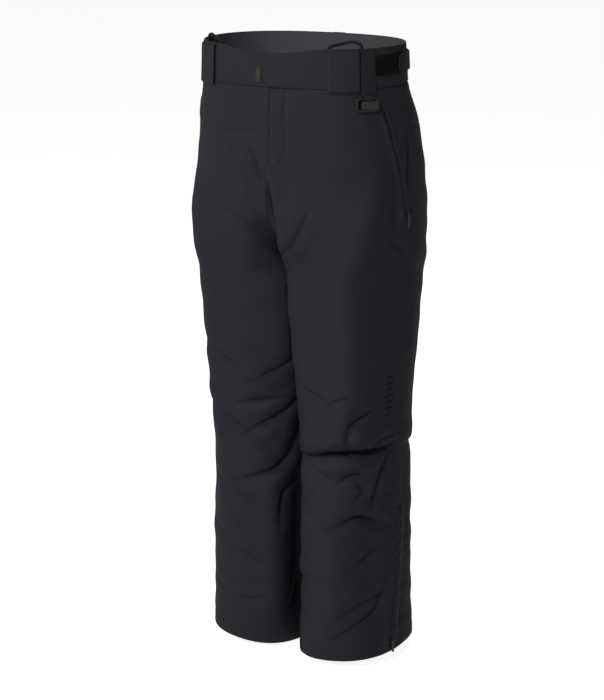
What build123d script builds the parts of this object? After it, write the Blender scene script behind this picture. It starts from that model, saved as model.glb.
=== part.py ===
"""Insulated ski pants, modelled as the separate pieces that they are sewn and assembled from.

Frame: millimetres, +Z up, the wearer faces -Y and the wearer's left is +X. The origin is the centre
of the waist opening, level with the middle of its rim. The pants hang straight down from it.

The body of the garment is a set of flat-cut panels that follow one surface. That surface is given by
SECTIONS: at each height one half of the garment is an oval, from the centre seam (or, below the
crotch, the inseam) round to the outseam. A place on it is a height and a share `w` of the way round
one half: 0 at the centre front or inseam, 1 at the outseam, 2 at the centre back or inseam.
"""

from build123d import *
from math import cos, pi, radians, sin, sqrt
import os

os.makedirs("parts", exist_ok=True)

# ---- driving dimensions -------------------------------------------------------------------------
# height, half width, inseam gap, middle, front depth, back depth, start angle front and back
SECTIONS = [
    (0, 172, 0, 2, 112, 112, 90, 90),
    (-62, 174, 0, 4, 117, 119, 90, 90),
    (-130, 186, 0, 16, 131, 134, 90, 90),
    (-200, 190, 0, 22, 137, 142, 90, 80),
    (-260, 189, 0, 26, 138, 143, 70, 60),
    (-310, 187, 0, 28, 134, 138, 46, 38),
    (-350, 184, 1, 30, 128, 132, 14, 12),
    (-372, 183, 1, 30, 124, 128, 0, 0),
    (-460, 180, 1, 30, 113, 116, 0, 0),
    (-600, 172, 1, 30, 104, 104, 0, 0),
    (-700, 170, 2, 32, 103, 103, 0, 0),
    (-850, 173, 3, 31, 103, 103, 0, 0),
    (-1028, 177, 3, 32, 105, 105, 0, 0),
]
SQUARENESS = 0.05  # how much fuller than an ellipse the ovals are at 45 degrees
WAIST_TILT = 3 / 110  # the rim climbs towards the back
WAIST_TILT_END = -300
HEM_TILT = 0.1  # the hem climbs towards the outseam
HEM_TILT_SPAN = (-500, -1000)

HEM = -1028
BAND = 62  # waistband height
YOKE_BOTTOM = -130
SEAM_GAP = 0.5
LEVEL_STEP = 40  # between the heights that every layer shares

SHELL = 1.5  # cloth thicknesses, and how far in from the surface each layer lies
INSULATION = (2.6, 6.0)
LINING = (6.6, 7.4)
FACING = (2.0, 3.2)

FLY_BOTTOM = -190
FLY_FOLD_TOP_X = 48  # the closure folds on the line from here on the rim to the fly's bottom
FLAP_CLEAR = 1.2
TAB_END_X = -5  # the closure tab passes the centre front by this much
UNDERLAP_SIZE = (46, 54, 1.5)
SNAP_HEIGHTS = (-18, -44)
SNAP_X = 12
STUD_RADIUS = 2.6
SOCKET_RADII = (3.3, 6.0)
FLY_ZIP_X = 18
FLY_ZIP_TOP = -72
FLY_ZIP_BOTTOM = -182

WIDE_LOOP = (0.393, 0.591)  # share of the way round from the centre front
LOOP_GAP = 3.6
WEBBING = 1.6
BACK_LOOP_WIDTH = 22
SUSPENDER_W = 0.50
SUSPENDER_DEPTH = 9.9  # the middle of the webbing, in from the rim
SUSPENDER_ARCH = [(-27, -24), (-27, 3), (8, 11), (27, 6), (27, -24)]
SUSPENDER_WIDTH = 6

PATCH = (0.724, 1.07)
PATCH_HEIGHTS = (-12, -44)
ADJUSTER = (0.985, 1.42)
ADJUSTER_LIFT = 1.9

RING_STRAP = (0.598, 0.718)
RING_W = 0.635
RING_TOP = -76
RING_LIFT = 5.4
RING_SIZE = (38, 22)
RING_WIRE = 1.8

POCKET_ZIP = (-95, -279)  # top and bottom
ANKLE_ZIP = (-776, -1018)
TAPE_HALF = 5.5
TAPE_LIFTS = (-0.95, -0.35)
TOOTH = (2.2, 1.4, 1.0)
TOOTH_PITCH = 3.2
SLIDER = (6.5, 9.0, 1.6)
PULLER = (5.0, 19.0, 1.3)
BRIDGE_Y = 1.0  # how far up the slider its bridge and the puller's hinge are

GAITER = (-845, -1000)
SCUFF_TOP = -885
MARK_HEIGHTS = (-528, -603)


# ---- the garment's surface ----------------------------------------------------------------------
def column(number, height):
    """One column of SECTIONS at any height, by a smooth curve that never overshoots its rows."""
    rows = SECTIONS
    height = min(max(height, rows[-1][0]), rows[0][0])
    below = next(i for i in range(1, len(rows)) if height >= rows[i][0] or i == len(rows) - 1)

    def rise(i):
        return (rows[i][number] - rows[i - 1][number]) / (rows[i][0] - rows[i - 1][0])

    def slope(i):
        if i == 0:
            return rise(1)
        if i == len(rows) - 1:
            return rise(i)
        before, after = rise(i), rise(i + 1)
        return 0.0 if before * after <= 0 else 2 * before * after / (before + after)

    high, low = rows[below - 1], rows[below]
    span = low[0] - high[0]
    s = (height - high[0]) / span
    return (
        (2 * s**3 - 3 * s**2 + 1) * high[number]
        + (s**3 - 2 * s**2 + s) * span * slope(below - 1)
        + (3 * s**2 - 2 * s**3) * low[number]
        + (s**3 - s**2) * span * slope(below)
    )


def oval(height, angle, back):
    """x and y on one half's outline; 180 degrees is the outseam."""
    outer, inner, middle = column(1, height), column(2, height), column(3, height)
    depth = column(5, height) if back else -column(4, height)
    start = radians(column(7 if back else 6, height))

    def full(a):
        return 1 + SQUARENESS * sin(2 * a) ** 2

    half = (outer - inner) / (1 + full(start) * cos(start))
    a = radians(angle)
    return outer - half - half * full(a) * cos(a), middle + depth * full(a) * sin(a)


def angle_at(height, w, back):
    start = column(7 if back else 6, height)
    return 180 - (w - 1) * (180 - start) if back else start + w * (180 - start)


def tilts(height):
    waist = WAIST_TILT * min(max(1 - height / WAIST_TILT_END, 0), 1)
    start, end = HEM_TILT_SPAN
    hem = HEM_TILT * min(max((height - start) / (end - start), 0), 1)
    return waist, hem


def surface(height, w, inset=0.0, side=1, back=None):
    """A point on the garment, or inside it by inset. side is 1 for the wearer's left."""
    if back is None:
        back = w > 1
    angle = angle_at(height, w, back)
    x, y = oval(height, angle, back)
    ahead, behind = oval(height, angle + 0.1, back), oval(height, angle - 0.1, back)
    tx, ty = ahead[0] - behind[0], ahead[1] - behind[1]
    size = sqrt(tx * tx + ty * ty)
    nx, ny = (-ty / size, tx / size) if back else (ty / size, -tx / size)
    x, y = x - nx * inset, y - ny * inset
    waist, hem = tilts(height)
    return Vector(side * x, y, height + waist * y + hem * (x - 100))


def level(height, side):
    """The tilted plane that holds one half's outline at this height."""
    waist, hem = tilts(height)
    return Plane((0, 0, height - 100 * hem), x_dir=(1, 0, hem * side), z_dir=(-hem * side, -waist, 1))


def w_at_x(height, x):
    """The share of the way round, on the front, at this distance from the centre."""
    low, high = 0.0, 1.0
    for _ in range(40):
        mid = (low + high) / 2
        if oval(height, angle_at(height, mid, False), False)[0] < x:
            low = mid
        else:
            high = mid
    return low


def on_garment(height, w, lift=0.0, side=1):
    """A plane lying on the garment: x towards the wearer's left or round the side, y up, z out."""
    here = surface(height, w, -lift, side)
    across = (surface(height, w + 0.004, -lift, side, w > 1) - here) * side
    up = surface(height + 1, w, -lift, side) - here
    return Plane(here, x_dir=across, z_dir=across.cross(up))


def heights(top, bottom):
    """Heights from top to bottom. Those between are the same for every layer, so layers nest."""
    count = int(-HEM / LEVEL_STEP)
    between = [-LEVEL_STEP * i for i in range(count + 1)]
    return [top] + [h for h in between if bottom + 5 < h < top - 5] + [bottom]


def strip(levels, edges, insets, side=1, arcs=3):
    """A cloth panel: a thin solid between two edges and two insets, lofted through its heights.

    edges and insets are pairs, or functions of the height that give pairs.
    """
    with BuildPart() as panel:
        for height in levels:
            first, last = edges(height) if callable(edges) else edges
            outer, inner = insets(height) if callable(insets) else insets
            stops = [first, 1, last] if first < 0.999 and last > 1.001 else [first, last]
            plane = level(height, side)

            def local(w, inset, back):
                return plane.to_local_coords(surface(height, w, inset, side, back))

            def arc(a, b, inset, back):
                """Control points of one smooth piece of the outline from share a to share b.

                Its handles are as long as makes it pass through the outline halfway along.
                """
                tiny = 0.002
                begin, end = local(a, inset, back), local(b, inset, back)
                middle = local((a + b) / 2, inset, back)
                leave = local(a + tiny, inset, back) - local(a - tiny, inset, back)
                arrive = local(b + tiny, inset, back) - local(b - tiny, inset, back)
                bow = leave - arrive
                reach = (middle * 8 - begin * 4 - end * 4).dot(bow) / (3 * bow.dot(bow))
                return [begin, begin + leave * reach, end - arrive * reach, end]

            spans = []
            for a, b in zip(stops, stops[1:]):
                parts = [a + (b - a) * i / arcs for i in range(arcs + 1)]
                spans += [(p, q, (a + b) / 2 > 1) for p, q in zip(parts, parts[1:])]
            with BuildSketch(plane):
                with BuildLine():
                    for a, b, back in spans:
                        Bezier(*arc(a, b, outer, back))
                    Line(local(last, outer, spans[-1][2]), local(last, inner, spans[-1][2]))
                    for a, b, back in reversed(spans):
                        Bezier(*reversed(arc(a, b, inner, back)))
                    Line(local(first, inner, spans[0][2]), local(first, outer, spans[0][2]))
                make_face()
        loft(ruled=True)
    return panel


def ribbon(levels, edges, insets, side):
    """A strip narrow enough for its cross-section to be straight, such as a zip tape."""
    with BuildPart() as tape:
        for height in levels:
            plane = level(height, side)
            ends = [(w, inset) for w in edges(height) for inset in insets]
            near_out, near_in, far_out, far_in = [plane.to_local_coords(surface(height, *e, side)) for e in ends]
            with BuildSketch(plane):
                with BuildLine():
                    Polyline(near_out, far_out, far_in, near_in, close=True)
                make_face()
        loft(ruled=True)
    return tape


def write(name, *builders):
    """Gathers the solids of one node, labels it and writes it."""
    if len(builders) == 1:
        piece = builders[0].part
    else:
        piece = Compound(children=[solid for builder in builders for solid in builder.part.solids()])
    piece.label = name
    export_step(piece, f"parts/{name}.step")


SIDES = (("left", 1), ("right", -1))


# ---- outer shell: legs and yoke -----------------------------------------------------------------
def fold_x(height):
    """Where the closure's fold line is, from the rim to the fly's bottom."""
    return max(FLY_FOLD_TOP_X * (1 - height / FLY_BOTTOM), 0)


def left_front_edge(height):
    return w_at_x(height, fold_x(height) + SEAM_GAP) if height > FLY_BOTTOM else 0


LEG_BREAKS = (-360, -680)  # each leg panel is built in three lengths that meet end to end


def leg_panel(top, edges, side):
    stops = (top, *LEG_BREAKS, HEM)
    lengths = []
    for high, low in zip(stops, stops[1:]):
        levels = set(heights(high, low))
        if side == 1 and high > FLY_BOTTOM > low:
            levels.add(FLY_BOTTOM)
        lengths.append(strip(sorted(levels, reverse=True), edges, (0, SHELL), side))
    return lengths


write("leg_front_left", *leg_panel(-BAND - SEAM_GAP, lambda h: (left_front_edge(h), 1), 1))
write("leg_front_right", *leg_panel(-BAND - SEAM_GAP, (0, 1), -1))
for name, side in SIDES:
    write(f"leg_back_{name}", *leg_panel(YOKE_BOTTOM - SEAM_GAP, (1, 2), side))
yoke_halves = [strip(heights(-BAND - SEAM_GAP, YOKE_BOTTOM), (1, 2), (0, SHELL), s) for _, s in SIDES]
write("back_yoke", *yoke_halves)

# ---- inner layers -------------------------------------------------------------------------------
FLY_CLEAR_X = 50  # the inner layers stop short of the fly by this much
FLY_CLEAR_END = (-205, -262)


def inner_front_edge(height):
    top, bottom = FLY_CLEAR_END
    share = min(max((height - bottom) / (top - bottom), 0), 1)
    return w_at_x(height, FLY_CLEAR_X * share) if share > 0 else 0


for name, side in SIDES:
    layers = (("insulation", INSULATION, -72, -992), ("lining", LINING, -66, -1000))
    for layer, depths, top, bottom in layers:
        front = strip(heights(top, bottom), lambda h: (inner_front_edge(h), 1), depths, side, 3)
        back = strip(heights(top, bottom), (1, 2), depths, side, 3)
        write(f"{layer}_{name}", front, back)

# ---- waistband ----------------------------------------------------------------------------------
band_levels = heights(0, -BAND)


def left_band_edge(height):
    return w_at_x(height, fold_x(height) + SEAM_GAP), 2


def right_band_edge(height):
    return w_at_x(height, -TAB_END_X + 1.5), 2


waistband_left = strip(band_levels, left_band_edge, (0, SHELL), 1)
write("waistband_left", waistband_left)
waistband_right = strip(band_levels, right_band_edge, (0, SHELL), -1)
write("waistband_right", waistband_right)
facing_halves = [
    strip([-0.8, -30, -BAND + 1], lambda h: (w_at_x(h, FLY_CLEAR_X + 6), 2), FACING, s) for _, s in SIDES
]
write("waistband_facing", *facing_halves)

# ---- closure: the left front corner folds open on the fly's diagonal ------------------------------
tab_across = strip(band_levels, lambda h: (0, w_at_x(h, fold_x(h) - SEAM_GAP)), (0, SHELL), 1, 2)
tab_end = strip(band_levels, lambda h: (0, w_at_x(h, -TAB_END_X)), (0, SHELL), -1, 1)
with BuildPart() as closure_tab:
    add(tab_across.part)
    add(tab_end.part)
write("closure_tab", closure_tab)


def flap_edges(height):
    """From just beside the right front, which it clears as it folds, to the fold line."""
    return w_at_x(height, FLAP_CLEAR), w_at_x(height, fold_x(height) - SEAM_GAP)


fly_flap = strip(heights(-BAND - SEAM_GAP, FLY_BOTTOM + 14), flap_edges, (0, SHELL), 1, 2)
write("fly_flap", fly_flap)

band_middle = on_garment(-BAND / 2, 0)
underlap_plane = band_middle.offset(-5.9)
with BuildPart() as snap_underlap:
    with BuildSketch(underlap_plane):
        RectangleRounded(UNDERLAP_SIZE[0], UNDERLAP_SIZE[1], 4)
    extrude(amount=UNDERLAP_SIZE[2])
write("snap_underlap", snap_underlap)

snap_points = [(SNAP_X, height + BAND / 2) for height in SNAP_HEIGHTS]
with BuildPart(band_middle.offset(-4.4)) as snap_studs:
    with Locations(*snap_points):
        Cylinder(5.0, 0.6, align=(Align.CENTER, Align.CENTER, Align.MIN))
        Cylinder(STUD_RADIUS, 1.7, align=(Align.CENTER, Align.CENTER, Align.MIN))
write("snap_studs", snap_studs)
with BuildPart(band_middle.offset(-3.3)) as snap_sockets:
    with Locations(*snap_points):
        Cylinder(SOCKET_RADII[1], 1.0, align=(Align.CENTER, Align.CENTER, Align.MIN))
        Cylinder(SOCKET_RADII[0], 1.0, align=(Align.CENTER, Align.CENTER, Align.MIN), mode=Mode.SUBTRACT)
write("snap_sockets", snap_sockets)

KEEPER = (9, 21, 2.2)
keeper_plane = on_garment(-43, w_at_x(-43, -TAB_END_X - 1.5), 0.3, -1)
with BuildPart(keeper_plane) as keeper_tab:
    Box(KEEPER[0], KEEPER[1], KEEPER[2], align=(Align.MAX, Align.CENTER, Align.MIN))
    Box(KEEPER[0] - 2, KEEPER[1] - 7, 1, align=(Align.MAX, Align.CENTER, Align.MIN), mode=Mode.SUBTRACT)
write("keeper_tab", keeper_tab)

# ---- fly zip ------------------------------------------------------------------------------------
fly_top = surface(FLY_ZIP_TOP, w_at_x(FLY_ZIP_TOP, FLY_ZIP_X), 8)
fly_bottom = surface(FLY_ZIP_BOTTOM, w_at_x(FLY_ZIP_BOTTOM, FLY_ZIP_X), 8)
FLY_DEPTH = max(fly_top.Y, fly_bottom.Y)
fly_length = FLY_ZIP_TOP - FLY_ZIP_BOTTOM
fly_plane = Plane((FLY_ZIP_X, FLY_DEPTH, (FLY_ZIP_TOP + FLY_ZIP_BOTTOM) / 2), x_dir=(1, 0, 0), z_dir=(0, -1, 0))
with BuildPart(fly_plane.offset(-0.8)) as fly_zip_tapes:
    with Locations((-7.1, 0), (7.1, 0)):
        Box(13, fly_length + 14, 0.7, align=(Align.CENTER, Align.CENTER, Align.MIN))
write("fly_zip_tapes", fly_zip_tapes)


def teeth_on(planes):
    """Two rows of zip teeth, one block on each plane, shifted to either side in turn."""
    seats = [p.shift_origin(p.origin + p.x_dir * (0.9 if i % 2 else -0.9)) for i, p in enumerate(planes)]
    with BuildPart() as rows:
        with Locations(*seats):
            Box(*TOOTH, align=(Align.CENTER, Align.CENTER, Align.MIN))
    return rows


tooth_count = int(fly_length / TOOTH_PITCH * 2)
fly_teeth = teeth_on(
    [
        Plane((FLY_ZIP_X, FLY_DEPTH, FLY_ZIP_TOP - (i + 0.5) * fly_length / tooth_count), (1, 0, 0), (0, -1, 0))
        for i in range(tooth_count)
    ]
)
write("fly_zip_teeth", fly_teeth)


def slider_on(plane):
    """A zip slider lying on plane, pointing up it: a rounded plate with a bridge along its middle."""
    with BuildPart() as slider:
        with BuildSketch(plane):
            base = Trapezoid(SLIDER[0], SLIDER[1], 80)
            fillet(base.vertices(), 1.2)
        extrude(amount=SLIDER[2])
        with BuildSketch(plane.offset(SLIDER[2])):
            with Locations((0, BRIDGE_Y - 2.1), (0, BRIDGE_Y + 2.1)):
                Rectangle(1.6, 0.8)
        extrude(amount=1.8)
        with BuildSketch(plane.offset(SLIDER[2] + 1.8)):
            with Locations((0, BRIDGE_Y)):
                Rectangle(1.6, 5)
        extrude(amount=0.7)
    return slider


def puller_on(plane):
    """A puller hanging down from the slider: its window goes round the bridge, its tag has an eye."""
    pin = plane.offset(SLIDER[2] + 0.45)
    with BuildPart() as puller:
        with BuildSketch(pin):
            with Locations((0, BRIDGE_Y + 0.45)):
                Rectangle(4.6, 6, align=(Align.CENTER, Align.MAX))
            with Locations((0, BRIDGE_Y - 0.45)):
                Rectangle(2.5, 2.9, align=(Align.CENTER, Align.MAX), mode=Mode.SUBTRACT)
        extrude(amount=0.9)
        with BuildSketch(pin):
            with Locations((0, BRIDGE_Y - 3.35 - PULLER[1] / 2)):
                RectangleRounded(PULLER[0], PULLER[1], 1.6)
            with Locations((0, BRIDGE_Y - PULLER[1])):
                SlotOverall(2.6, 1.4, mode=Mode.SUBTRACT)
        extrude(amount=PULLER[2])
    return puller


SLIDER_CLEAR = TOOTH[2] + 0.5
fly_slider_plane = Plane((FLY_ZIP_X, FLY_DEPTH - SLIDER_CLEAR, FLY_ZIP_TOP - 6), (1, 0, 0), (0, -1, 0))
fly_slider = slider_on(fly_slider_plane)
write("fly_slider", fly_slider)
fly_puller = puller_on(fly_slider_plane)
write("fly_puller", fly_puller)

with BuildPart(fly_plane.offset(-3.4)) as fly_underlap:
    with Locations((2, 0)):
        Box(50, fly_length + 6, 1.2, align=(Align.CENTER, Align.CENTER, Align.MIN))
write("fly_underlap", fly_underlap)


# ---- belt and suspender loops -------------------------------------------------------------------
def loop_insets(height):
    """A loop's webbing lies on the band at its two ends and stands off between them."""
    stand = LOOP_GAP if -BAND - 3 < height < -3 else 0.2
    return -stand - WEBBING, -stand


LOOP_LEVELS = [0.5, -6, -BAND - 1, -BAND - 7]
for name, side in SIDES:
    wide_loop = strip(LOOP_LEVELS, WIDE_LOOP, loop_insets, side, 1)
    write(f"belt_loop_front_{name}", wide_loop)
back_share = BACK_LOOP_WIDTH / 2 / 172 / (pi / 2)
loop_back_halves = [strip(LOOP_LEVELS, (2 - back_share, 2), loop_insets, s, 1) for _, s in SIDES]
with BuildPart() as belt_loop_back:
    for half in loop_back_halves:
        add(half.part)
write("belt_loop_back", belt_loop_back)


def suspender_loop(side):
    """An arch of narrow webbing that stands a little above the rim, its two ends sewn inside it."""
    rim = on_garment(0, SUSPENDER_W, -SUSPENDER_DEPTH, side)
    with BuildPart() as webbing:
        with BuildSketch(rim):
            with BuildLine():
                path = FilletPolyline(*[(x * side, y) for x, y in SUSPENDER_ARCH], radius=5)
                offset(path, WEBBING / 2, side=Side.BOTH)
            make_face()
        extrude(amount=SUSPENDER_WIDTH / 2, both=True)
    return webbing


for name, side in SIDES:
    write(f"suspender_loop_{name}", suspender_loop(side))

# ---- waist adjusters ----------------------------------------------------------------------------
patch_levels = [PATCH_HEIGHTS[0], sum(PATCH_HEIGHTS) / 2, PATCH_HEIGHTS[1]]
tab_levels = [PATCH_HEIGHTS[0] - 2, sum(PATCH_HEIGHTS) / 2, PATCH_HEIGHTS[1] + 2]
patches = [strip(patch_levels, PATCH, (-1.2, -0.2), s, 2) for _, s in SIDES]
write("adjuster_patches", *patches)
for name, side in SIDES:
    outside = -ADJUSTER_LIFT - WEBBING
    adjuster_tab = strip(tab_levels, ADJUSTER, (outside, -ADJUSTER_LIFT), side, 2)
    write(f"adjuster_tab_{name}", adjuster_tab)
    pad_edges = (ADJUSTER[0] + 0.01, PATCH[1] + 0.1)
    hook_pad = strip(tab_levels, pad_edges, (-ADJUSTER_LIFT + 0.06, -ADJUSTER_LIFT + 0.41), side, 2)
    write(f"adjuster_hooks_{name}", hook_pad)

# ---- lift-pass ring on its strap ----------------------------------------------------------------
STRAP_EYE = (2.7, 3.9)  # inner and outer radius of the strap's fold round the ring's top bar


def strap_insets(height):
    return -0.3 - 1.2, -0.3


ring_bar = on_garment(RING_TOP, RING_W, RING_LIFT)
strap_length = 14
hanger = strip([-2, -30, -58, RING_TOP], RING_STRAP, strap_insets, 1, 1)
with BuildPart() as ring_strap:
    add(hanger.part)
    with BuildSketch(Plane(ring_bar.origin - ring_bar.x_dir * 5, x_dir=ring_bar.z_dir, z_dir=ring_bar.x_dir)):
        Circle(STRAP_EYE[1])
        Circle(STRAP_EYE[0], mode=Mode.SUBTRACT)
    extrude(amount=strap_length)
write("ring_strap", ring_strap)

with BuildPart() as lift_ring:
    with BuildSketch(ring_bar):
        with Locations((0, -RING_SIZE[1] / 2 + RING_WIRE)):
            RectangleRounded(RING_SIZE[0], RING_SIZE[1], 5)
            RectangleRounded(RING_SIZE[0] - 4 * RING_WIRE, RING_SIZE[1] - 4 * RING_WIRE, 2.5, mode=Mode.SUBTRACT)
    extrude(amount=RING_WIRE, both=True)
    chamfer(lift_ring.edges().group_by(SortBy.LENGTH)[-1], 0.6)
write("lift_ring", lift_ring)
PLATE = (24, 12.3, 1.6)  # it leaves the top of the ring free for the strap
with BuildPart(ring_bar) as ring_plate:
    with Locations((RING_SIZE[0] / 2 - 2 * RING_WIRE, -RING_SIZE[1] + 3 * RING_WIRE)):
        Box(*PLATE, align=(Align.MAX, Align.MIN, Align.CENTER))
    fillet(ring_plate.edges().filter_by(Axis(ring_bar.origin, ring_bar.z_dir)), 2.6)
write("ring_plate", ring_plate)


# ---- hand pockets and ankle zips ----------------------------------------------------------------
def pocket_w(height):
    down = (POCKET_ZIP[0] - height) / (POCKET_ZIP[0] - POCKET_ZIP[1])
    return 0.75 + 0.2 * max(down, 0) ** 1.3


def ankle_w(height):
    down = (-771 - height) / 255
    return 1 - 0.106 * max(down, 0) ** 1.25


def tape_edges(route, near, far):
    """Edges of one tape beside a zip's line, given in millimetres from that line."""

    def edges(height):
        width = (surface(height, 0.95) - surface(height, 0.85)).length / 0.1
        return route(height) + near / width, route(height) + far / width

    return edges


def zip_tapes(route, top, bottom, side):
    shared = heights(top, bottom)
    levels = sorted(shared + [(a + b) / 2 for a, b in zip(shared, shared[1:])], reverse=True)
    rear = ribbon(levels, tape_edges(route, -TAPE_HALF, -0.3), TAPE_LIFTS, side)
    front = ribbon(levels, tape_edges(route, 0.3, TAPE_HALF), TAPE_LIFTS, side)
    return [rear, front]


def zip_teeth(route, top, bottom, side):
    count = int((top - bottom) / TOOTH_PITCH * 2)
    stops = [top - (i + 0.5) * (top - bottom) / count for i in range(count)]
    return teeth_on([on_garment(h, route(h), 0.95, side) for h in stops])


def travel_arc(points):
    """Centre and axis of the circle through three points."""
    a, b, c = points
    ab, ac = b - a, c - a
    axis = ab.cross(ac)
    centre = a + (axis.cross(ab) * ac.length**2 + ac.cross(axis) * ab.length**2) / (2 * axis.length**2)
    return centre, axis.normalized()


SLIDER_LIFT = 0.95 + TOOTH[2] + 1.4
pocket_tapes, pocket_teeth, ankle_tapes, ankle_teeth = [], [], [], []
travels = {}
for name, side in SIDES:
    pocket_tapes += zip_tapes(pocket_w, *POCKET_ZIP, side)
    pocket_teeth += [zip_teeth(pocket_w, POCKET_ZIP[0] - 4, POCKET_ZIP[1] + 4, side)]
    ankle_tapes += zip_tapes(ankle_w, *ANKLE_ZIP, side)
    ankle_teeth += [zip_teeth(ankle_w, ANKLE_ZIP[0] - 4, ANKLE_ZIP[1] + 4, side)]
    runs = (
        ("pocket", pocket_w, (POCKET_ZIP[1] + 14, sum(POCKET_ZIP) / 2, POCKET_ZIP[0] - 14)),
        ("ankle", ankle_w, (ANKLE_ZIP[1] + 12, sum(ANKLE_ZIP) / 2, ANKLE_ZIP[0] - 16)),
    )
    for kind, route, stops in runs:
        rest = on_garment(stops[0], route(stops[0]), SLIDER_LIFT, side)
        write(f"{kind}_slider_{name}", slider_on(rest))
        write(f"{kind}_puller_{name}", puller_on(rest))
        points = [surface(h, route(h), -SLIDER_LIFT, side) for h in stops]
        centre, axis = travel_arc(points)
        travels[f"{kind}_{name}"] = (points, centre, axis, rest)
write("pocket_zip_tapes", *pocket_tapes)
write("pocket_zip_teeth", *pocket_teeth)
write("ankle_zip_tapes", *ankle_tapes)
write("ankle_zip_teeth", *ankle_teeth)


def pocket_bag_edges(height):
    return 0.52, 0.9


for name, side in SIDES:
    pocket_bag = strip(heights(-80, -300), pocket_bag_edges, (8.2, 10.2), side, 2)
    write(f"pocket_bag_{name}", pocket_bag)
    gusset = strip(heights(ANKLE_ZIP[0] - 24, -996), (0.86, 0.97), (8.0, 8.8), side, 1)
    write(f"ankle_gusset_{name}", gusset)


# ---- cuffs --------------------------------------------------------------------------------------
def scuff_edges(height):
    down = (SCUFF_TOP - height) / (SCUFF_TOP - HEM)
    return 0.06, 0.06 + 0.22 * down + 0.02


def scuff_edges_back(height):
    near, far = scuff_edges(height)
    return 2 - far, 2 - near


def gaiter_insets(height):
    down = (GAITER[0] - height) / (GAITER[0] - GAITER[1])
    return 9.2 + 12 * down, 10.2 + 12 * down


ROUND = (0.004, 1.996)
gaiter_levels = [GAITER[0], -895, -950, GAITER[1]]
hem_halves = []
for name, side in SIDES:
    levels = heights(SCUFF_TOP - 10, HEM + 0.5)
    scuffs = [strip(levels, edges, (-1.3, -0.4), side, 1) for edges in (scuff_edges, scuff_edges_back)]
    write(f"scuff_guard_{name}", *scuffs)
    gaiter = strip(gaiter_levels, ROUND, gaiter_insets, side, 3)
    write(f"gaiter_{name}", gaiter)
    hem_halves.append(strip([-1004, HEM], ROUND, (1.8, 3.0), side, 3))
write("hem_bands", *hem_halves)
elastics = [strip([GAITER[1] + 10, GAITER[1]], ROUND, (22.6, 24.2), s, 3) for _, s in SIDES]
write("gaiter_elastics", *elastics)

# ---- side mark: a plain column of bars ----------------------------------------------------------
bars = 7
with BuildPart() as side_mark:
    for i in range(bars):
        height = MARK_HEIGHTS[0] + (MARK_HEIGHTS[1] - MARK_HEIGHTS[0]) * (i + 0.5) / bars
        with BuildSketch(on_garment(height, 0.905, 0.2)):
            Trapezoid(9 if i % 2 else 6, 4.2, 75)
        extrude(amount=0.4)
write("side_mark", side_mark)
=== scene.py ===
"""The looks of the insulated ski pants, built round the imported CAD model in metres.

A place on the garment is (side, w, z): side is 1 for the wearer's left, z is the height below the
rim, and w is the share of the way round one half, 0 at the centre front or inseam, 1 at the outseam
and 2 at the centre back or inseam, as in the CAD model.
"""

import math
import bpy
import numpy as np
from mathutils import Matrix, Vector


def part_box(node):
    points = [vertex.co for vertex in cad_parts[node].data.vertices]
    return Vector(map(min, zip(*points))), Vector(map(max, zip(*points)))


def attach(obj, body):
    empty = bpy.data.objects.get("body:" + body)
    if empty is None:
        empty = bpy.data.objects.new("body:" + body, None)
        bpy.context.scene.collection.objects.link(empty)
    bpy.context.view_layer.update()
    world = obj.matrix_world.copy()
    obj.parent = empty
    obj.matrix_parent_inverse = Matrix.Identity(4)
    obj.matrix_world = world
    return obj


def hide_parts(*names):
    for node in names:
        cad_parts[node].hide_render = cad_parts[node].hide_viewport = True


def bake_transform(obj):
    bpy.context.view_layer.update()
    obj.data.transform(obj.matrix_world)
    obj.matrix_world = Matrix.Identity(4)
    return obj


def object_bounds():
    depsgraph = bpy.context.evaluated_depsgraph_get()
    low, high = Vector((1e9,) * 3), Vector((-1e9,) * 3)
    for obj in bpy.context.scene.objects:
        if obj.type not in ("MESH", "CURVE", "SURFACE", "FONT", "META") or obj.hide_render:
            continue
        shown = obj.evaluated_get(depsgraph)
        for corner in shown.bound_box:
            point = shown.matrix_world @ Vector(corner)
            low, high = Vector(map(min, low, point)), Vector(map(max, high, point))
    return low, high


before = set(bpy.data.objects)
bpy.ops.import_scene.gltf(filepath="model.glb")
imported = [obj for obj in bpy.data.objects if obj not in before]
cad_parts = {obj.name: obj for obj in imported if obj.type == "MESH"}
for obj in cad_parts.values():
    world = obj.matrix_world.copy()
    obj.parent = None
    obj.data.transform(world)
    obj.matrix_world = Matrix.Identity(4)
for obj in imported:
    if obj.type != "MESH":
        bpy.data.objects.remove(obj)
cad_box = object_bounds()

MM = 0.001
LEFT, RIGHT = 1, -1
SIDES = (("left", LEFT), ("right", RIGHT))
HEM = -1.028
BAND = 0.062
YOKE_BOTTOM = -0.130
FLY_BOTTOM = -0.190
rng = np.random.default_rng(7)

# ---- the garment's surface, as the CAD model cuts it ---------------------------------------------
# height, half width, inseam gap, middle, front depth, back depth (mm), start angles front and back
SECTIONS = np.array([
    (0, 172, 0, 2, 112, 112, 90, 90),
    (-62, 174, 0, 4, 117, 119, 90, 90),
    (-130, 186, 0, 16, 131, 134, 90, 90),
    (-200, 190, 0, 22, 137, 142, 90, 80),
    (-260, 189, 0, 26, 138, 143, 70, 60),
    (-310, 187, 0, 28, 134, 138, 46, 38),
    (-350, 184, 1, 30, 128, 132, 14, 12),
    (-372, 183, 1, 30, 124, 128, 0, 0),
    (-460, 180, 1, 30, 113, 116, 0, 0),
    (-600, 172, 1, 30, 104, 104, 0, 0),
    (-700, 170, 2, 32, 103, 103, 0, 0),
    (-850, 173, 3, 31, 103, 103, 0, 0),
    (-1028, 177, 3, 32, 105, 105, 0, 0),
], float)
SQUARENESS = 0.05
WAIST_TILT = 3 / 110
HEM_TILT = 0.1


def rise(value, start, span):
    """0 up to the start, then evenly up to 1 over the span."""
    return np.clip((value - start) / span, 0, 1)


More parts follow.
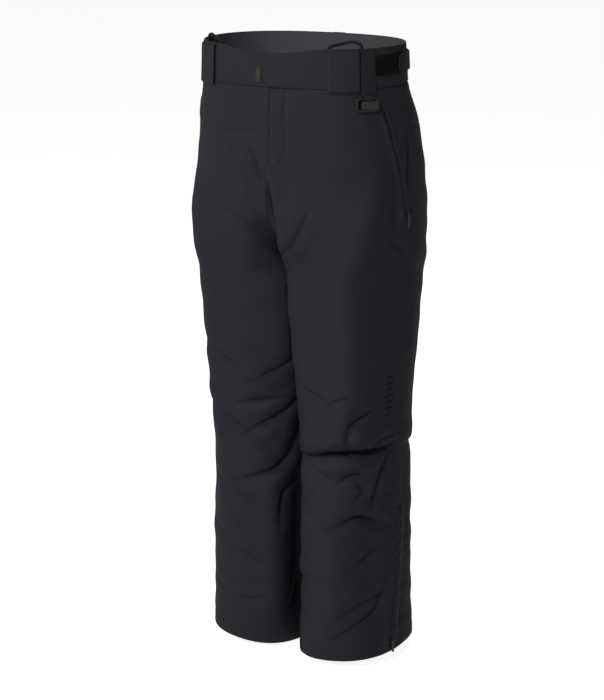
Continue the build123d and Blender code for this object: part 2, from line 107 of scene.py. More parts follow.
def fall(value, end, span):
    """1 until a span before the end, then evenly down to 0 at the end."""
    return np.clip((end - value) / span, 0, 1)


def hump(value, centre, width, power=2):
    """1 at the centre, dying away to both sides."""
    return np.exp(-(((value - centre) / width) ** power))


def smooth(t):
    """The rise of t from 0 to 1, softened at both ends."""
    return t * t * (3 - 2 * t)


def directions(line):
    """Unit directions along a line of points."""
    along = np.gradient(line, axis=0)
    return along / np.linalg.norm(along, axis=1)[:, None]


def column(number, z):
    """One column of SECTIONS at the heights z, in metres or degrees."""
    heights, values = SECTIONS[::-1, 0] * MM, SECTIONS[::-1, number]
    rise = np.diff(values) / np.diff(heights)
    before, after = rise[:-1], rise[1:]
    total = np.where(before + after == 0, 1, before + after)
    inner = np.where(before * after > 0, 2 * before * after / total, 0)
    slope = np.concatenate([[rise[0]], inner, [rise[-1]]])
    z = np.clip(z, heights[0], heights[-1])
    i = np.clip(np.searchsorted(heights, z, side="right") - 1, 0, len(heights) - 2)
    span = heights[i + 1] - heights[i]
    s = (z - heights[i]) / span
    found = (
        (2 * s**3 - 3 * s**2 + 1) * values[i]
        + (s**3 - 2 * s**2 + s) * span * slope[i]
        + (3 * s**2 - 2 * s**3) * values[i + 1]
        + (s**3 - s**2) * span * slope[i + 1]
    )
    return found if number >= 6 else found * MM


def base(side, w, z, inset=0.0):
    """Points on the smooth garment, and the outward directions there."""
    w, z = np.broadcast_arrays(np.asarray(w, float), np.asarray(z, float))
    back = w > 1
    outer, inner, middle = column(1, z), column(2, z), column(3, z)
    depth = np.where(back, column(5, z), -column(4, z))
    start = np.radians(np.where(back, column(7, z), column(6, z)))
    angle = np.where(back, math.pi - (w - 1) * (math.pi - start), start + w * (math.pi - start))

    def full(a):
        return 1 + SQUARENESS * np.sin(2 * a) ** 2

    half = (outer - inner) / (1 + full(start) * np.cos(start))

    def oval(a):
        return outer - half - half * full(a) * np.cos(a), middle + depth * full(a) * np.sin(a)

    x, y = oval(angle)
    ahead, behind = oval(angle + 0.002), oval(angle - 0.002)
    tx, ty = ahead[0] - behind[0], ahead[1] - behind[1]
    size = np.hypot(tx, ty)
    nx, ny = np.where(back, -ty, ty) / size, np.where(back, tx, -tx) / size
    x, y = x - nx * inset, y - ny * inset
    waist = WAIST_TILT * np.clip(1 + z / 0.3, 0, 1)
    hem = HEM_TILT * np.clip((-z - 0.5) / 0.5, 0, 1)
    points = np.stack([side * x, y, z + waist * y + hem * (x - 0.1)], -1)
    return points, np.stack([side * nx, ny, np.zeros_like(nx)], -1)


# ---- folds ---------------------------------------------------------------------------------------
# side, depth and half width in mm, then places along the crease: w in thousandths and z in mm
FOLDS = [
    # hips and crotch
    (RIGHT, 4, 7, (250, -150), (220, -168), (120, -210), (40, -258)),
    (RIGHT, 5, 7, (290, -262), (170, -276), (40, -302)),
    (RIGHT, 6, 7, (90, -160), (50, -186), (10, -212)),
    (LEFT, 9, 7, (0, -205), (30, -232), (60, -280), (90, -318)),
    (LEFT, 3, 8, (290, -252), (240, -300), (170, -335)),
    (LEFT, 2.4, 6, (125, -64), (120, -86), (110, -118)),
    (RIGHT, 1.8, 8, (320, -84), (130, -88), (20, -84)),
    (RIGHT, 1.8, 9, (460, -140), (200, -135), (50, -130)),
    (LEFT, 4, 9, (950, -128), (955, -180), (900, -230)),
    (LEFT, 4, 8, (900, -224), (970, -258), (1080, -276)),
    (LEFT, 3, 8, (800, -300), (920, -318), (1020, -350)),
    # right knee and shin
    (RIGHT, 4.5, 9, (700, -492), (550, -520), (400, -552), (320, -572)),
    (RIGHT, 5, 9, (340, -548), (230, -530), (120, -505)),
    (RIGHT, 5, 8, (500, -597), (340, -587), (200, -582)),
    (RIGHT, 7.5, 10, (400, -640), (260, -616), (170, -596), (90, -574)),
    (RIGHT, 7, 10, (740, -592), (580, -618), (440, -644), (320, -668), (220, -690)),
    (RIGHT, 8, 11, (460, -730), (300, -712), (210, -694), (150, -664), (100, -625)),
    (RIGHT, 6, 9, (680, -738), (480, -760), (340, -785)),
    (RIGHT, 4.5, 8, (450, -750), (350, -768), (260, -786)),
    (RIGHT, 6, 11, (140, -736), (210, -746), (235, -766), (240, -806)),
    (RIGHT, 3.5, 12, (640, -832), (410, -870), (220, -888)),
    (RIGHT, 3, 11, (700, -930), (480, -952), (280, -935)),
    # left knee and shin
    (LEFT, 3.5, 8, (320, -500), (380, -514), (440, -528)),
    (LEFT, 6, 9, (300, -556), (420, -560), (510, -569), (570, -586), (630, -616)),
    (LEFT, 5, 8, (310, -608), (430, -623), (530, -640)),
    (LEFT, 3.5, 8, (560, -568), (630, -558), (720, -572)),
    (LEFT, 8, 10, (645, -640), (650, -610), (690, -594), (790, -578)),
    (LEFT, 17, 11, (240, -676), (420, -664), (550, -656), (670, -652), (800, -653), (930, -650)),
    (LEFT, 3.5, 6, (980, -634), (850, -634), (760, -645)),
    (LEFT, 4.5, 8, (290, -681), (450, -692), (560, -707)),
    (LEFT, 5.5, 8, (600, -704), (680, -690), (760, -697)),
    (LEFT, 4.5, 7, (690, -706), (730, -722), (690, -736)),
    (LEFT, 6, 10, (800, -752), (820, -720), (870, -680), (950, -662)),
    (LEFT, 4, 8, (330, -727), (480, -744), (580, -766)),
    (LEFT, 9, 9, (580, -782), (680, -767), (780, -775), (930, -800)),
    (LEFT, 3.5, 8, (310, -768), (440, -781), (540, -796)),
    (LEFT, 5, 12, (930, -830), (780, -841), (670, -858)),
    (LEFT, 3.5, 10, (200, -892), (400, -882), (470, -902), (560, -955)),
    (LEFT, 5.5, 11, (890, -916), (720, -926), (580, -952)),
    (LEFT, 5.5, 11, (870, -905), (820, -940), (710, -960), (560, -986)),
    # behind the knees and down the calves, and across the seat
    (LEFT, 5, 12, (1300, -584), (1520, -616), (1850, -600)),
    (LEFT, 7, 13, (1100, -662), (1450, -672), (1800, -655)),
    (LEFT, 4.5, 11, (1400, -748), (1600, -722), (1880, -706)),
    (LEFT, 3, 12, (1200, -812), (1420, -846), (1660, -858)),
    (LEFT, 2.6, 12, (1460, -944), (1640, -920), (1800, -884)),
    (LEFT, 5, 14, (1980, -300), (1780, -330), (1500, -348)),
    (LEFT, 4, 13, (1950, -372), (1720, -400), (1450, -408)),
    (RIGHT, 5, 12, (1240, -590), (1480, -622), (1720, -606)),
    (RIGHT, 7, 13, (1140, -668), (1500, -664), (1820, -660)),
    (RIGHT, 4.5, 11, (1200, -704), (1450, -722), (1660, -752)),
    (RIGHT, 3, 12, (1300, -798), (1500, -838), (1740, -862)),
    (RIGHT, 2.6, 12, (1400, -900), (1580, -930), (1700, -974)),
    (RIGHT, 5, 14, (1980, -306), (1760, -338), (1520, -352)),
    (RIGHT, 4, 13, (1940, -380), (1700, -398), (1480, -416)),
]
FOLD_SCALE = 1.35
FOLD_STEPS = 30
FOLD_REACH = 4.5


def smooth_line(places, count):
    """Evenly spread places along a smooth curve through the given ones, in w and z."""
    padded = np.vstack([2 * places[0] - places[1], places, 2 * places[-1] - places[-2]])
    found = []
    for t in np.linspace(0, len(places) - 1 - 1e-9, count):
        i = int(t)
        s = t - i
        a, b, c, d = padded[i : i + 4]
        square, cube = 2 * a - 5 * b + 4 * c - d, 3 * b - a - 3 * c + d
        found.append(0.5 * (2 * b + (c - a) * s + square * s**2 + cube * s**3))
    return np.array(found)


GRID_W = np.linspace(0, 2, 301)
GRID_Z = np.linspace(0.0, HEM, 601)
GRID = np.meshgrid(GRID_W, GRID_Z)
SWELLS = 34


def fold_depths(side):
    """How far the authored folds push the cloth in or out, over the whole half's grid."""
    w, z = GRID
    points, _ = base(side, w, z)
    push = np.zeros(w.shape)
    for fold_side, depth, width, *places in FOLDS:
        if fold_side != side:
            continue
        line = smooth_line(np.array(places) / 1000, FOLD_STEPS)
        spine, outward = base(side, line[:, 0], line[:, 1])
        half = width * MM
        reach = half * FOLD_REACH
        near = np.abs(points[..., 2] - spine[:, 2].mean()) < np.ptp(spine[:, 2]) / 2 + reach
        near &= (w > 1) == (line[:, 0].mean() > 1)
        chosen = points[near]
        gaps = chosen[:, None, :] - spine[None]
        far = np.linalg.norm(gaps, axis=2)
        nearest = far.argmin(1)
        along = directions(spine)
        upper = np.cross(along, outward)
        if upper[:, 2].sum() < 0:
            upper = -upper
        gap = gaps[np.arange(len(chosen)), nearest]
        lengthwise = (gap * along[nearest]).sum(1)
        off = np.sqrt(np.maximum((gap**2).sum(1) - lengthwise**2, 0))
        share = nearest / (len(line) - 1)
        ends = np.clip(np.sin(math.pi * (0.08 + 0.84 * share)), 0, 1) ** 0.8
        at_end = (nearest == 0) | (nearest == len(line) - 1)
        beyond = np.where(at_end, np.exp(-((lengthwise / (half * 1.6)) ** 2)), 1)
        s = off * np.sign((gap * upper[nearest]).sum(1)) / half
        crease = -np.exp(-np.abs(s) * 1.9)
        overhang = 0.5 * np.tanh(3.5 * s) * np.exp(-np.abs(s) / 1.8)
        swells = 0.25 * np.exp(-((np.abs(s) - 2.1) ** 2))
        shape = crease + overhang + swells
        push[near] += shape * depth * MM * ends * beyond * FOLD_SCALE
    return push


def ripples(side):
    """Low uneven swells in the padded cloth, and fine puckers along the outseam."""
    w, z = GRID
    swell = np.zeros(w.shape)
    for _ in range(SWELLS):
        tall, wide = rng.uniform(9, 46), rng.integers(1, 6)
        phase, turn = rng.uniform(0, 2 * math.pi, 2)
        lean = rng.uniform(-1.2, 1.2)
        wave = np.sin(tall * z * 2 * math.pi / 2.2 + wide * w * math.pi + lean * w * 3 + phase)
        swell += wave * np.cos(turn + w * math.pi) / SWELLS**0.5
    calm = np.clip((-z - 0.05) / 0.35, 0.12, 1)
    seam = np.exp(-np.abs(w - 1) / 0.05) * fall(z, -0.25, 0.3)
    pucker = np.sin(z * 2 * math.pi / 0.021 + 1.4 * np.sin(z * 31) + side) * seam
    return swell * 0.0011 * calm + pucker * 0.0003


def leg_fill(side, w, z):
    """The legs are a little boxier than plain ovals: flat fronts, with a corner towards the side."""
    thigh = fall(z, -0.215, 0.09) * rise(z, -0.66, 0.22)
    side_plane = fall(z, -0.16, 0.10) * rise(z, -0.70, 0.10)
    inner = 0.017 * thigh * hump(w, 0.17, 0.12)
    corner = 0.011 * side_plane * hump(w, 0.65, 0.10)
    flat = 0.0050 * side_plane * hump(w, 0.88, 0.10)
    shin = fall(z, -0.70, 0.06) * rise(z, -1.02, 0.08)
    if side == LEFT:
        turned = 0.0095 * hump(w, 0.55, 0.10) - 0.0065 * hump(w, 0.79, 0.09)
    else:
        turned = 0.0105 * hump(w, 0.26, 0.08) - 0.0080 * hump(w, 0.10, 0.07)
    return inner + corner - flat + shin * turned


def deepest(field, rows, columns):
    """The lowest value within a few grid steps, so that an inner layer stays clear of every crease."""
    low = field.copy()
    for step in range(1, rows + 1):
        low[step:] = np.minimum(low[step:], field[:-step])
        low[:-step] = np.minimum(low[:-step], field[step:])
    wide = low.copy()
    for step in range(1, columns + 1):
        wide[:, step:] = np.minimum(wide[:, step:], low[:, :-step])
        wide[:, :-step] = np.minimum(wide[:, :-step], low[:, step:])
    return wide


def zip_masks(w, z):
    """1 beside the hand-pocket zip and 1 beside the ankle zip, 0 away from them."""
    pocket = hump(w, pocket_w(z), 0.07, 4) * rise(z, -0.32, 0.03)
    ankle = hump(w, ankle_w(z), 0.06, 4) * fall(z, -0.75, 0.025)
    return pocket, ankle


def quieted(field):
    """The field faded out on the waistband and along the zips."""
    w, z = GRID
    pocket, ankle = zip_masks(w, z)
    return field * (fall(z, -BAND, 0.05) * (1 - 0.9 * pocket) * (1 - 0.9 * ankle))


def matched(fields):
    """Makes the two halves agree along the centre seams, and each leg with itself at its inseam."""
    both = {side: fields[side].copy() for side in fields}
    rows = np.linspace(0.0, HEM, len(fields[LEFT]))
    shares = np.linspace(0, 2, fields[LEFT].shape[1])
    joined = rise(rows, -0.37, 0.03)
    if fields[LEFT].ndim == 3:
        joined = joined[:, None]
    front = (fields[LEFT][:, 0] + fields[RIGHT][:, 0]) / 2
    back = (fields[LEFT][:, -1] + fields[RIGHT][:, -1]) / 2
    for side in fields:
        inseam = (fields[side][:, 0] + fields[side][:, -1]) / 2
        for middle, edge, seam in ((front, 0, shares), (back, -1, 2 - shares)):
            change = middle * joined + inseam * (1 - joined) - fields[side][:, edge]
            near = np.exp(-((seam / 0.09) ** 2))
            near = near[:, None] if change.ndim == 2 else near
            both[side] += change[:, None] * near
    return both


def ankle_w(z):
    """Where the ankle zip runs."""
    down = np.clip((-0.771 - z) / 0.255, 0, None)
    return 1 - 0.106 * down**1.25


def pocket_w(z):
    """Where the hand-pocket zip runs."""
    down = np.clip((-0.095 - z) / 0.184, 0, None)
    return 0.75 + 0.2 * down**1.3


# ---- cloth simulation: spare length hangs in soft wrinkles ----------------------------------------
SIM_W = np.linspace(0, 2, 69)
SIM_Z = np.linspace(0.0, HEM, 116)
SIM_FRAMES = 22
SIM_CAP = 0.0045
SIM_WELD = 0.0016
SPARE_LENGTH = 0.03


def drape(pushes):
    """Simulates the whole shell as hanging cloth and returns each half's moves on the coarse grid."""
    w, z = np.meshgrid(SIM_W, SIM_Z)
    starts, indices, keys, verts, faces = {}, {}, {}, [], []
    for _, side in SIDES:
        points, normals = base(side, w, z)
        points = points + normals * sample(pushes[side], w, z)[..., None]
        starts[side] = points
        index = np.zeros(w.shape, int)
        for at in np.ndindex(w.shape):
            key = tuple(np.round(points[at] / SIM_WELD).astype(int))
            if key not in keys:
                keys[key] = len(verts)
                verts.append(points[at])
            index[at] = keys[key]
        for r in range(len(SIM_Z) - 1):
            for c in range(len(SIM_W) - 1):
                quad = [index[r, c], index[r + 1, c], index[r + 1, c + 1], index[r, c + 1]]
                if side == RIGHT:
                    quad.reverse()
                if len(set(quad)) == 4:
                    faces.append(quad)
        indices[side] = index
    mesh = bpy.data.meshes.new("drape")
    mesh.from_pydata([tuple(v) for v in verts], [], faces)
    cloth = bpy.data.objects.new("drape", mesh)
    bpy.context.scene.collection.objects.link(cloth)
    group = cloth.vertex_groups.new(name="held")
    height = np.array(verts)[:, 2]
    hold = np.clip(1 - (-height - 0.10) / 0.30, 0.0, 1) + np.clip(1 - (height - HEM) / 0.04, 0, 1)
    hold = np.clip(hold, 0.02, 1)
    for number, weight in enumerate(hold):
        group.add([number], float(weight), "REPLACE")
    modifier = cloth.modifiers.new("cloth", "CLOTH")
    settings = modifier.settings
    settings.quality = 5
    settings.mass = 0.35
    settings.tension_stiffness = settings.compression_stiffness = 22
    settings.shear_stiffness = 8
    settings.bending_stiffness = 1.4
    settings.vertex_group_mass = "held"
    settings.pin_stiffness = 1.0
    settings.shrink_min = -SPARE_LENGTH
    settings.use_pressure = True
    settings.uniform_pressure_force = 0.6
    modifier.collision_settings.use_collision = False
    modifier.collision_settings.use_self_collision = False
    modifier.point_cache.frame_start = 1
    modifier.point_cache.frame_end = SIM_FRAMES
    for number in range(1, SIM_FRAMES + 1):
        bpy.context.scene.frame_set(number)
    settled = cloth.evaluated_get(bpy.context.evaluated_depsgraph_get()).to_mesh()
    moved = np.empty(len(verts) * 3)
    settled.vertices.foreach_get("co", moved)
    moved = moved.reshape(-1, 3)
    bpy.data.objects.remove(cloth)
    bpy.context.scene.frame_set(1)
    moves = {}
    for _, side in SIDES:
        move = moved[indices[side]] - starts[side]
        size = np.linalg.norm(move, axis=-1, keepdims=True)
        move = move * np.minimum(1, SIM_CAP / np.maximum(size, 1e-9))
        loose = fall(z, -0.40, 0.14) * rise(z, HEM + 0.03, 0.17)
        pocket, ankle = zip_masks(w, z)
        moves[side] = move * (loose * (1 - pocket) * (1 - ankle))[..., None]
    return matched(moves)


def sample(grid, w, z):
    """Reads a value laid over the whole half, at any places, by linear interpolation."""
    rows, columns = grid.shape[0], grid.shape[1]
    c = np.clip(np.asarray(w, float) / 2 * (columns - 1), 0, columns - 1.000001)
    r = np.clip(np.asarray(z, float) / HEM * (rows - 1), 0, rows - 1.000001)
    c0, r0 = c.astype(int), r.astype(int)
    fc, fr = c - c0, r - r0
    if grid.ndim == 3:
        fc, fr = fc[..., None], fr[..., None]
    top = grid[r0, c0] * (1 - fc) + grid[r0, c0 + 1] * fc
    low = grid[r0 + 1, c0] * (1 - fc) + grid[r0 + 1, c0 + 1] * fc
    return top * (1 - fr) + low * fr


pushes = matched({
    side: quieted(fold_depths(side) + ripples(side) + leg_fill(side, *GRID)) for _, side in SIDES
})
inner_pushes = {side: deepest(pushes[side], 5, 3) for _, side in SIDES}
drapes = drape(pushes)


RIM_SAG = 0.007
CROTCH = -0.374
INNER_LIFT = -0.0015
HALF_GAP = 0.0004


def rim_dip(w):
    """The rim sags a little at the front, between the two belt loops."""
    return RIM_SAG * smooth(fall(np.abs(w), 0.385, 0.26))


def cloth(side, w, z, lift=0.0):
    """Points on the finished, wrinkled garment, and the outward directions there.

    A share below 0 lies past the centre front, on the other half.
    """
    w, z = np.broadcast_arrays(np.asarray(w, float), np.asarray(z, float))
    across = w < 0
    points, normals = base(side, np.abs(w), z)
    inside = np.max(lift) <= INNER_LIFT
    fields = inner_pushes if inside else pushes
    push = np.where(across, sample(fields[-side], -w, z), sample(fields[side], w, z))
    flip = np.where(across, -1, 1)
    points[..., 0] *= flip
    normals[..., 0] *= flip
    points = points + normals * (push + lift)[..., None]
    seam_points, seam_normals = base(side, np.where(np.abs(w) < 1, 0.0, 2.0), z)
    joined = rise(z, -0.372, 0.02) if inside else rise(z, -0.376, 0.004)
    joined = joined * np.exp(-((np.minimum(np.abs(w), 2 - np.abs(w)) / 0.08) ** 2))
    points[..., 0] -= flip * (seam_points[..., 0] + seam_normals[..., 0] * (push + lift)) * joined
    if drapes:
        moved = np.where(across[..., None], sample(drapes[-side], -w, z), sample(drapes[side], w, z))
        points = points + moved
    points[..., 2] -= rim_dip(w) * np.clip(1 + z / BAND, 0, 1)
    own_side = side * np.maximum(side * points[..., 0], HALF_GAP)
    points[..., 0] = np.where(z < CROTCH, own_side, points[..., 0])
    return points, normals


# ---- materials -----------------------------------------------------------------------------------
def material(name, colour, rough=0.75, specular=0.2):
    made = bpy.data.materials.new(name)
    made.use_nodes = True
    tree = made.node_tree
    shader = tree.nodes["Principled BSDF"]
    shader.inputs["Base Color"].default_value = (*colour, 1)
    shader.inputs["Roughness"].default_value = rough
    shader.inputs["Specular IOR Level"].default_value = specular
    return made, tree, shader


def mixed(tree, factor, dark, light):
    ramp = tree.nodes.new("ShaderNodeMix")
    ramp.data_type = "RGBA"
    tree.links.new(factor, ramp.inputs["Factor"])
    ramp.inputs[6].default_value = (*dark, 1)
    ramp.inputs[7].default_value = (*light, 1)
    return ramp.outputs[2]


def coordinates(tree):
    return tree.nodes.new("ShaderNodeTexCoord").outputs["Object"]


def noise(tree, scale, detail=3.0):
    node = tree.nodes.new("ShaderNodeTexNoise")
    node.inputs["Scale"].default_value = scale
    node.inputs["Detail"].default_value = detail
    tree.links.new(coordinates(tree), node.inputs["Vector"])
    return node.outputs["Fac"]


def weave(tree, pitch):
    """Crossed threads: one set runs round the garment and one slantwise, about pitch metres apart."""
    join = tree.nodes.new("ShaderNodeMath")
    join.operation = "MULTIPLY"
    for number, direction in enumerate(("Z", "DIAGONAL")):
        node = tree.nodes.new("ShaderNodeTexWave")
        node.wave_type = "BANDS"
        node.bands_direction = direction
        node.inputs["Scale"].default_value = 1 / pitch / 3.2
        node.inputs["Distortion"].default_value = 0.6
        tree.links.new(coordinates(tree), node.inputs["Vector"])
        tree.links.new(node.outputs["Fac"], join.inputs[number])
    return join.outputs[0]


def bumped(tree, shader, height, depth, strength=0.5):
    bump = tree.nodes.new("ShaderNodeBump")
    bump.inputs["Distance"].default_value = depth
    bump.inputs["Strength"].default_value = strength
    tree.links.new(height, bump.inputs["Height"])
    tree.links.new(bump.outputs["Normal"], shader.inputs["Normal"])


def rough_between(tree, shader, factor, low, high):
    spread = tree.nodes.new("ShaderNodeMapRange")
    spread.inputs["To Min"].default_value = low
    spread.inputs["To Max"].default_value = high
    tree.links.new(factor, spread.inputs["Value"])
    tree.links.new(spread.outputs["Result"], shader.inputs["Roughness"])


def cloth_material(name, dark, light, pitch, rough=(0.7, 0.85), specular=0.2, depth=0.0002):
    made, tree, shader = material(name, light, specular=specular)
    cloud = noise(tree, 22, 5)
    tree.links.new(mixed(tree, cloud, dark, light), shader.inputs["Base Color"])
    rough_between(tree, shader, cloud, *rough)
    bumped(tree, shader, weave(tree, pitch), depth, 0.35)
    return made


def pile_material(name, dark, light):
    made, tree, shader = material(name, light, 0.95, 0.05)
    fuzz = noise(tree, 1500, 2)
    tree.links.new(mixed(tree, fuzz, dark, light), shader.inputs["Base Color"])
    rough_between(tree, shader, fuzz, 0.85, 1.0)
    bumped(tree, shader, fuzz, 0.0008, 0.9)
    return made


def hard_material(name, dark, light, rough, specular):
    made, tree, shader = material(name, light, specular=specular)
    wear = noise(tree, 260, 4)
    tree.links.new(mixed(tree, wear, dark, light), shader.inputs["Base Color"])
    rough_between(tree, shader, wear, *rough)
    bumped(tree, shader, noise(tree, 900, 2), 0.00005, 0.4)
    return made


SHELL = cloth_material("shell", (0.0088, 0.0092, 0.0120), (0.0114, 0.0119, 0.0153), 0.0007, specular=0.06)
TRIM = cloth_material("trim", (0.0078, 0.0081, 0.0104), (0.0102, 0.0106, 0.0134), 0.0007, specular=0.06)
LINING = cloth_material("lining", (0.027, 0.029, 0.033), (0.035, 0.037, 0.042), 0.0012, (0.6, 0.75), 0.15)
QUILT = cloth_material("quilt", (0.020, 0.021, 0.023), (0.030, 0.031, 0.034), 0.002, (0.9, 1.0), 0.1)
WEBBING = cloth_material("webbing", (0.0030, 0.0032, 0.0036), (0.006, 0.0062, 0.007), 0.0016, (0.6, 0.8), 0.1,
                         depth=0.0005)
SCUFF = cloth_material("scuff", (0.0060, 0.0063, 0.0080), (0.0085, 0.0090, 0.0112), 0.0016, (0.6, 0.75), 0.1,
                       depth=0.0005)
TAPE = cloth_material("tape", (0.0030, 0.0030, 0.0034), (0.006, 0.006, 0.0066), 0.0009, specular=0.06)
ELASTIC = cloth_material("elastic", (0.01, 0.01, 0.01), (0.02, 0.02, 0.02), 0.0024, (0.7, 0.9), depth=0.0007)
THREAD = cloth_material("thread", (0.0075, 0.0078, 0.0098), (0.0125, 0.0130, 0.016), 0.0005, (0.6, 0.75), 0.1)
PILE = pile_material("pile", (0.0010, 0.0013, 0.0010), (0.0026, 0.0032, 0.0026))
ZIP = hard_material("zip", (0.003, 0.003, 0.003), (0.007, 0.007, 0.0075), (0.45, 0.6), 0.15)
METAL = hard_material("metal", (0.0045, 0.0045, 0.005), (0.0095, 0.0095, 0.0105), (0.42, 0.55), 0.18)
OLIVE = hard_material("olive", (0.014, 0.015, 0.0095), (0.024, 0.025, 0.017), (0.6, 0.75), 0.08)
MARK = hard_material("mark", (0.0012, 0.0012, 0.0014), (0.0024, 0.0024, 0.0028), (0.6, 0.7), 0.06)


# ---- mesh making ---------------------------------------------------------------------------------
ALL_EDGES = ("top", "bottom", "first", "last")


def piece(name, verts, faces, look, body="pants", replaces=(), slot=None, soft=True):
    """One visible piece, on its body (None when closing or blending sets it), with its material; its slot is
    not used.
    """
    mesh = bpy.data.meshes.new(name)
    mesh.from_pydata([tuple(map(float, v)) for v in verts], [], [tuple(map(int, f)) for f in faces])
    mesh.validate()
    mesh.polygons.foreach_set("use_smooth", [soft] * len(mesh.polygons))
    made = bpy.data.objects.new(name, mesh)
    bpy.context.scene.collection.objects.link(made)
    mesh.materials.append(look)
    if body:
        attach(made, body)
    if replaces:
        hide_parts(*replaces)
    return made


def edge_distance(points, which):
    """How far each grid point lies from the chosen edges (top, bottom, first, last), in metres."""
    rows = np.linalg.norm(np.diff(points, axis=0), axis=-1)
    columns = np.linalg.norm(np.diff(points, axis=1), axis=-1)
    down = np.vstack([np.zeros((1, points.shape[1])), np.cumsum(rows, 0)])
    round_ = np.hstack([np.zeros((points.shape[0], 1)), np.cumsum(columns, 1)])
    away = np.full(points.shape[:2], 1.0)
    if "top" in which:
        away = np.minimum(away, down)
    if "bottom" in which:
        away = np.minimum(away, down[-1:] - down)
    if "first" in which:
        away = np.minimum(away, round_)
    if "last" in which:
        away = np.minimum(away, round_[:, -1:] - round_)
    return away


def sheet_mesh(points, normals, thick, side, rolled, roll, drop):
    """A closed cloth sheet over a grid of points: outer skin, inner skin and rims, edges turned in."""
    rows, columns = points.shape[:2]
    away = edge_distance(points, rolled)
    t = np.clip(1 - away / roll, 0, 1)
    inward = (1 - np.sqrt(np.maximum(1 - t**2, 0))) * (thick * 0.9 if drop is None else drop)
    outer = points - normals * inward[..., None]
    inner = points - normals * np.maximum(thick, inward + thick * 0.25)[..., None]
    verts = np.concatenate([outer.reshape(-1, 3), inner.reshape(-1, 3)])
    grid = np.arange(rows * columns).reshape(rows, columns)
    a, b, c, d = grid[:-1, :-1], grid[1:, :-1], grid[1:, 1:], grid[:-1, 1:]
    front = np.stack([a, b, c, d], -1).reshape(-1, 4)
    behind = np.stack([a, d, c, b], -1).reshape(-1, 4) + rows * columns
    ring = np.concatenate([grid[:, 0], grid[-1, 1:], grid[-2::-1, -1], grid[0, -2:0:-1]])
    nxt = np.roll(ring, -1)
    rim = np.stack([ring, ring + rows * columns, nxt + rows * columns, nxt], -1)
    faces = np.concatenate([front, behind, rim])
    if side == RIGHT:
        faces = faces[:, ::-1]
    return verts, faces


def spaced(first, last, count, edge):
    """Values from first to last with a few close ones at both ends, where the edges roll in."""
    span = last - first
    near = np.array([0.0, 0.25, 0.5, 1.0, 1.6]) * edge * (1 if span > 0 else -1)
    inner = np.linspace(first + near[-1], last - near[-1], count)
    return np.concatenate([first + near[:-1], inner, (last - near[:-1])[::-1]])


def panel(name, side, w_edges, z_edges, look, counts, slot, thick=0.0012, lift=0.0, body="pants", replaces=(),
          rolled=ALL_EDGES, roll=0.0016, drop=None, shape=None):
    """A cloth panel that follows the wrinkled garment between its edges."""
    share = spaced(0, 1, counts[0], 0.0045)
    zs = spaced(z_edges[0], z_edges[1], counts[1], 0.0014)
    z, s = np.meshgrid(zs, share, indexing="ij")
    first, last = [np.broadcast_to(e(z) if callable(e) else e, z.shape) for e in w_edges]
    w = first + (last - first) * s
    points, normals = cloth(side, w, z, lift)
    if shape is not None:
        points = points + normals * shape(w, z)[..., None]
    verts, faces = sheet_mesh(points, normals, thick, side, rolled, roll, drop)
    made = piece(name, verts, faces, look, body, replaces, slot)
    return made


def w_at_x(z, x):
    """The share of the way round, on the front, at distance x from the centre."""
    z = np.asarray(z, float)
    low, high = np.zeros(z.shape), np.ones(z.shape)
    for _ in range(30):
        mid = (low + high) / 2
        points, _ = base(LEFT, mid, z)
        less = points[..., 0] < x
        low, high = np.where(less, mid, low), np.where(less, high, mid)
    return low


# ---- shell ---------------------------------------------------------------------------------------
SEAM_BAND = -BAND + 0.0012
SIDE_SPAN = 0.14  # metres of cloth for one w, beside the pocket and ankle zips
scene = bpy.context.scene


def closing(made):
    """Bakes the piece's transform into its mesh, for the left front pieces that go with the closure."""
    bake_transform(made)


DARTS = ((-0.627, 0.79, 1), (-0.741, 0.77, -1))
DART_END = 1.01


def hem_step(w, z):
    """The doubled hem stands a little proud below its stitching."""
    return 0.0006 * fall(z, -1.0068, 0.002) - 0.0005 * hump(z, -1.0072, 0.0016)


def dart(w, z, at, first, tilt):
    """A stitched knee dart: a narrow groove from the outseam forwards."""
    ends = rise(w, first, 0.02) * fall(w, DART_END, 0.01)
    return -0.0016 * ends * hump(z, at + 0.02 * (w - DART_END) * tilt, 0.0022)


def ruffles(z, phase):
    """The uneven waves of cloth that is gathered along a zip."""
    return np.sin(z * 2 * math.pi / 0.026 + 1.7 * np.sin(z * 29) + phase)


def zip_side_shape(w, z):
    """The hem's step, and the puckers that run along both sides of the ankle zip."""
    beside = hump(np.abs(w - ankle_w(z)) * SIDE_SPAN, 0.0115, 0.0048)
    along = fall(z, -0.770, 0.02) * rise(z, -1.020, 0.01)
    return hem_step(w, z) + 0.0006 * (ruffles(z, 2.0 * w) - 0.2) * along * beside


def tucked(z, edge, depth):
    """The top of a panel slips under the one above it."""
    return -depth * smooth(rise(z, edge - 0.0030, 0.0026))


def crotch_join(w, z):
    """Round the crotch the two halves reach towards each other, so that no gap shows between them."""
    near = hump(np.minimum(w, 2 - w), 0, 0.008)
    return 0.0012 * near * fall(z, -0.26, 0.05) * rise(z, -0.377, 0.003)


def front_shape(w, z):
    darts = sum(dart(w, z, at, first, tilt) for at, first, tilt in DARTS)
    return zip_side_shape(w, z) + darts + tucked(z, -BAND, 0.0018) + crotch_join(w, z)


def yoke_shape(w, z):
    return tucked(z, -BAND, 0.0018)


def back_shape(w, z):
    return zip_side_shape(w, z) + tucked(z, YOKE_BOTTOM, 0.0014) + crotch_join(w, z)


def fly_edge_shape(w, z):
    """The flap's free edge lies over the right front, and dies out at the fly's bottom."""
    over = rise(z, FLY_BOTTOM, 0.012) * np.exp(-np.clip(w, 0, None) / 0.03)
    return front_shape(w, z) + 0.0011 * over + waist_pull(w, z)


def waist_pull(w, z):
    """Beside the fly the cloth sinks a little where it goes under the band."""
    return -0.0022 * np.exp((z + BAND) / 0.004) * hump(w, 0.10, 0.09, 4)


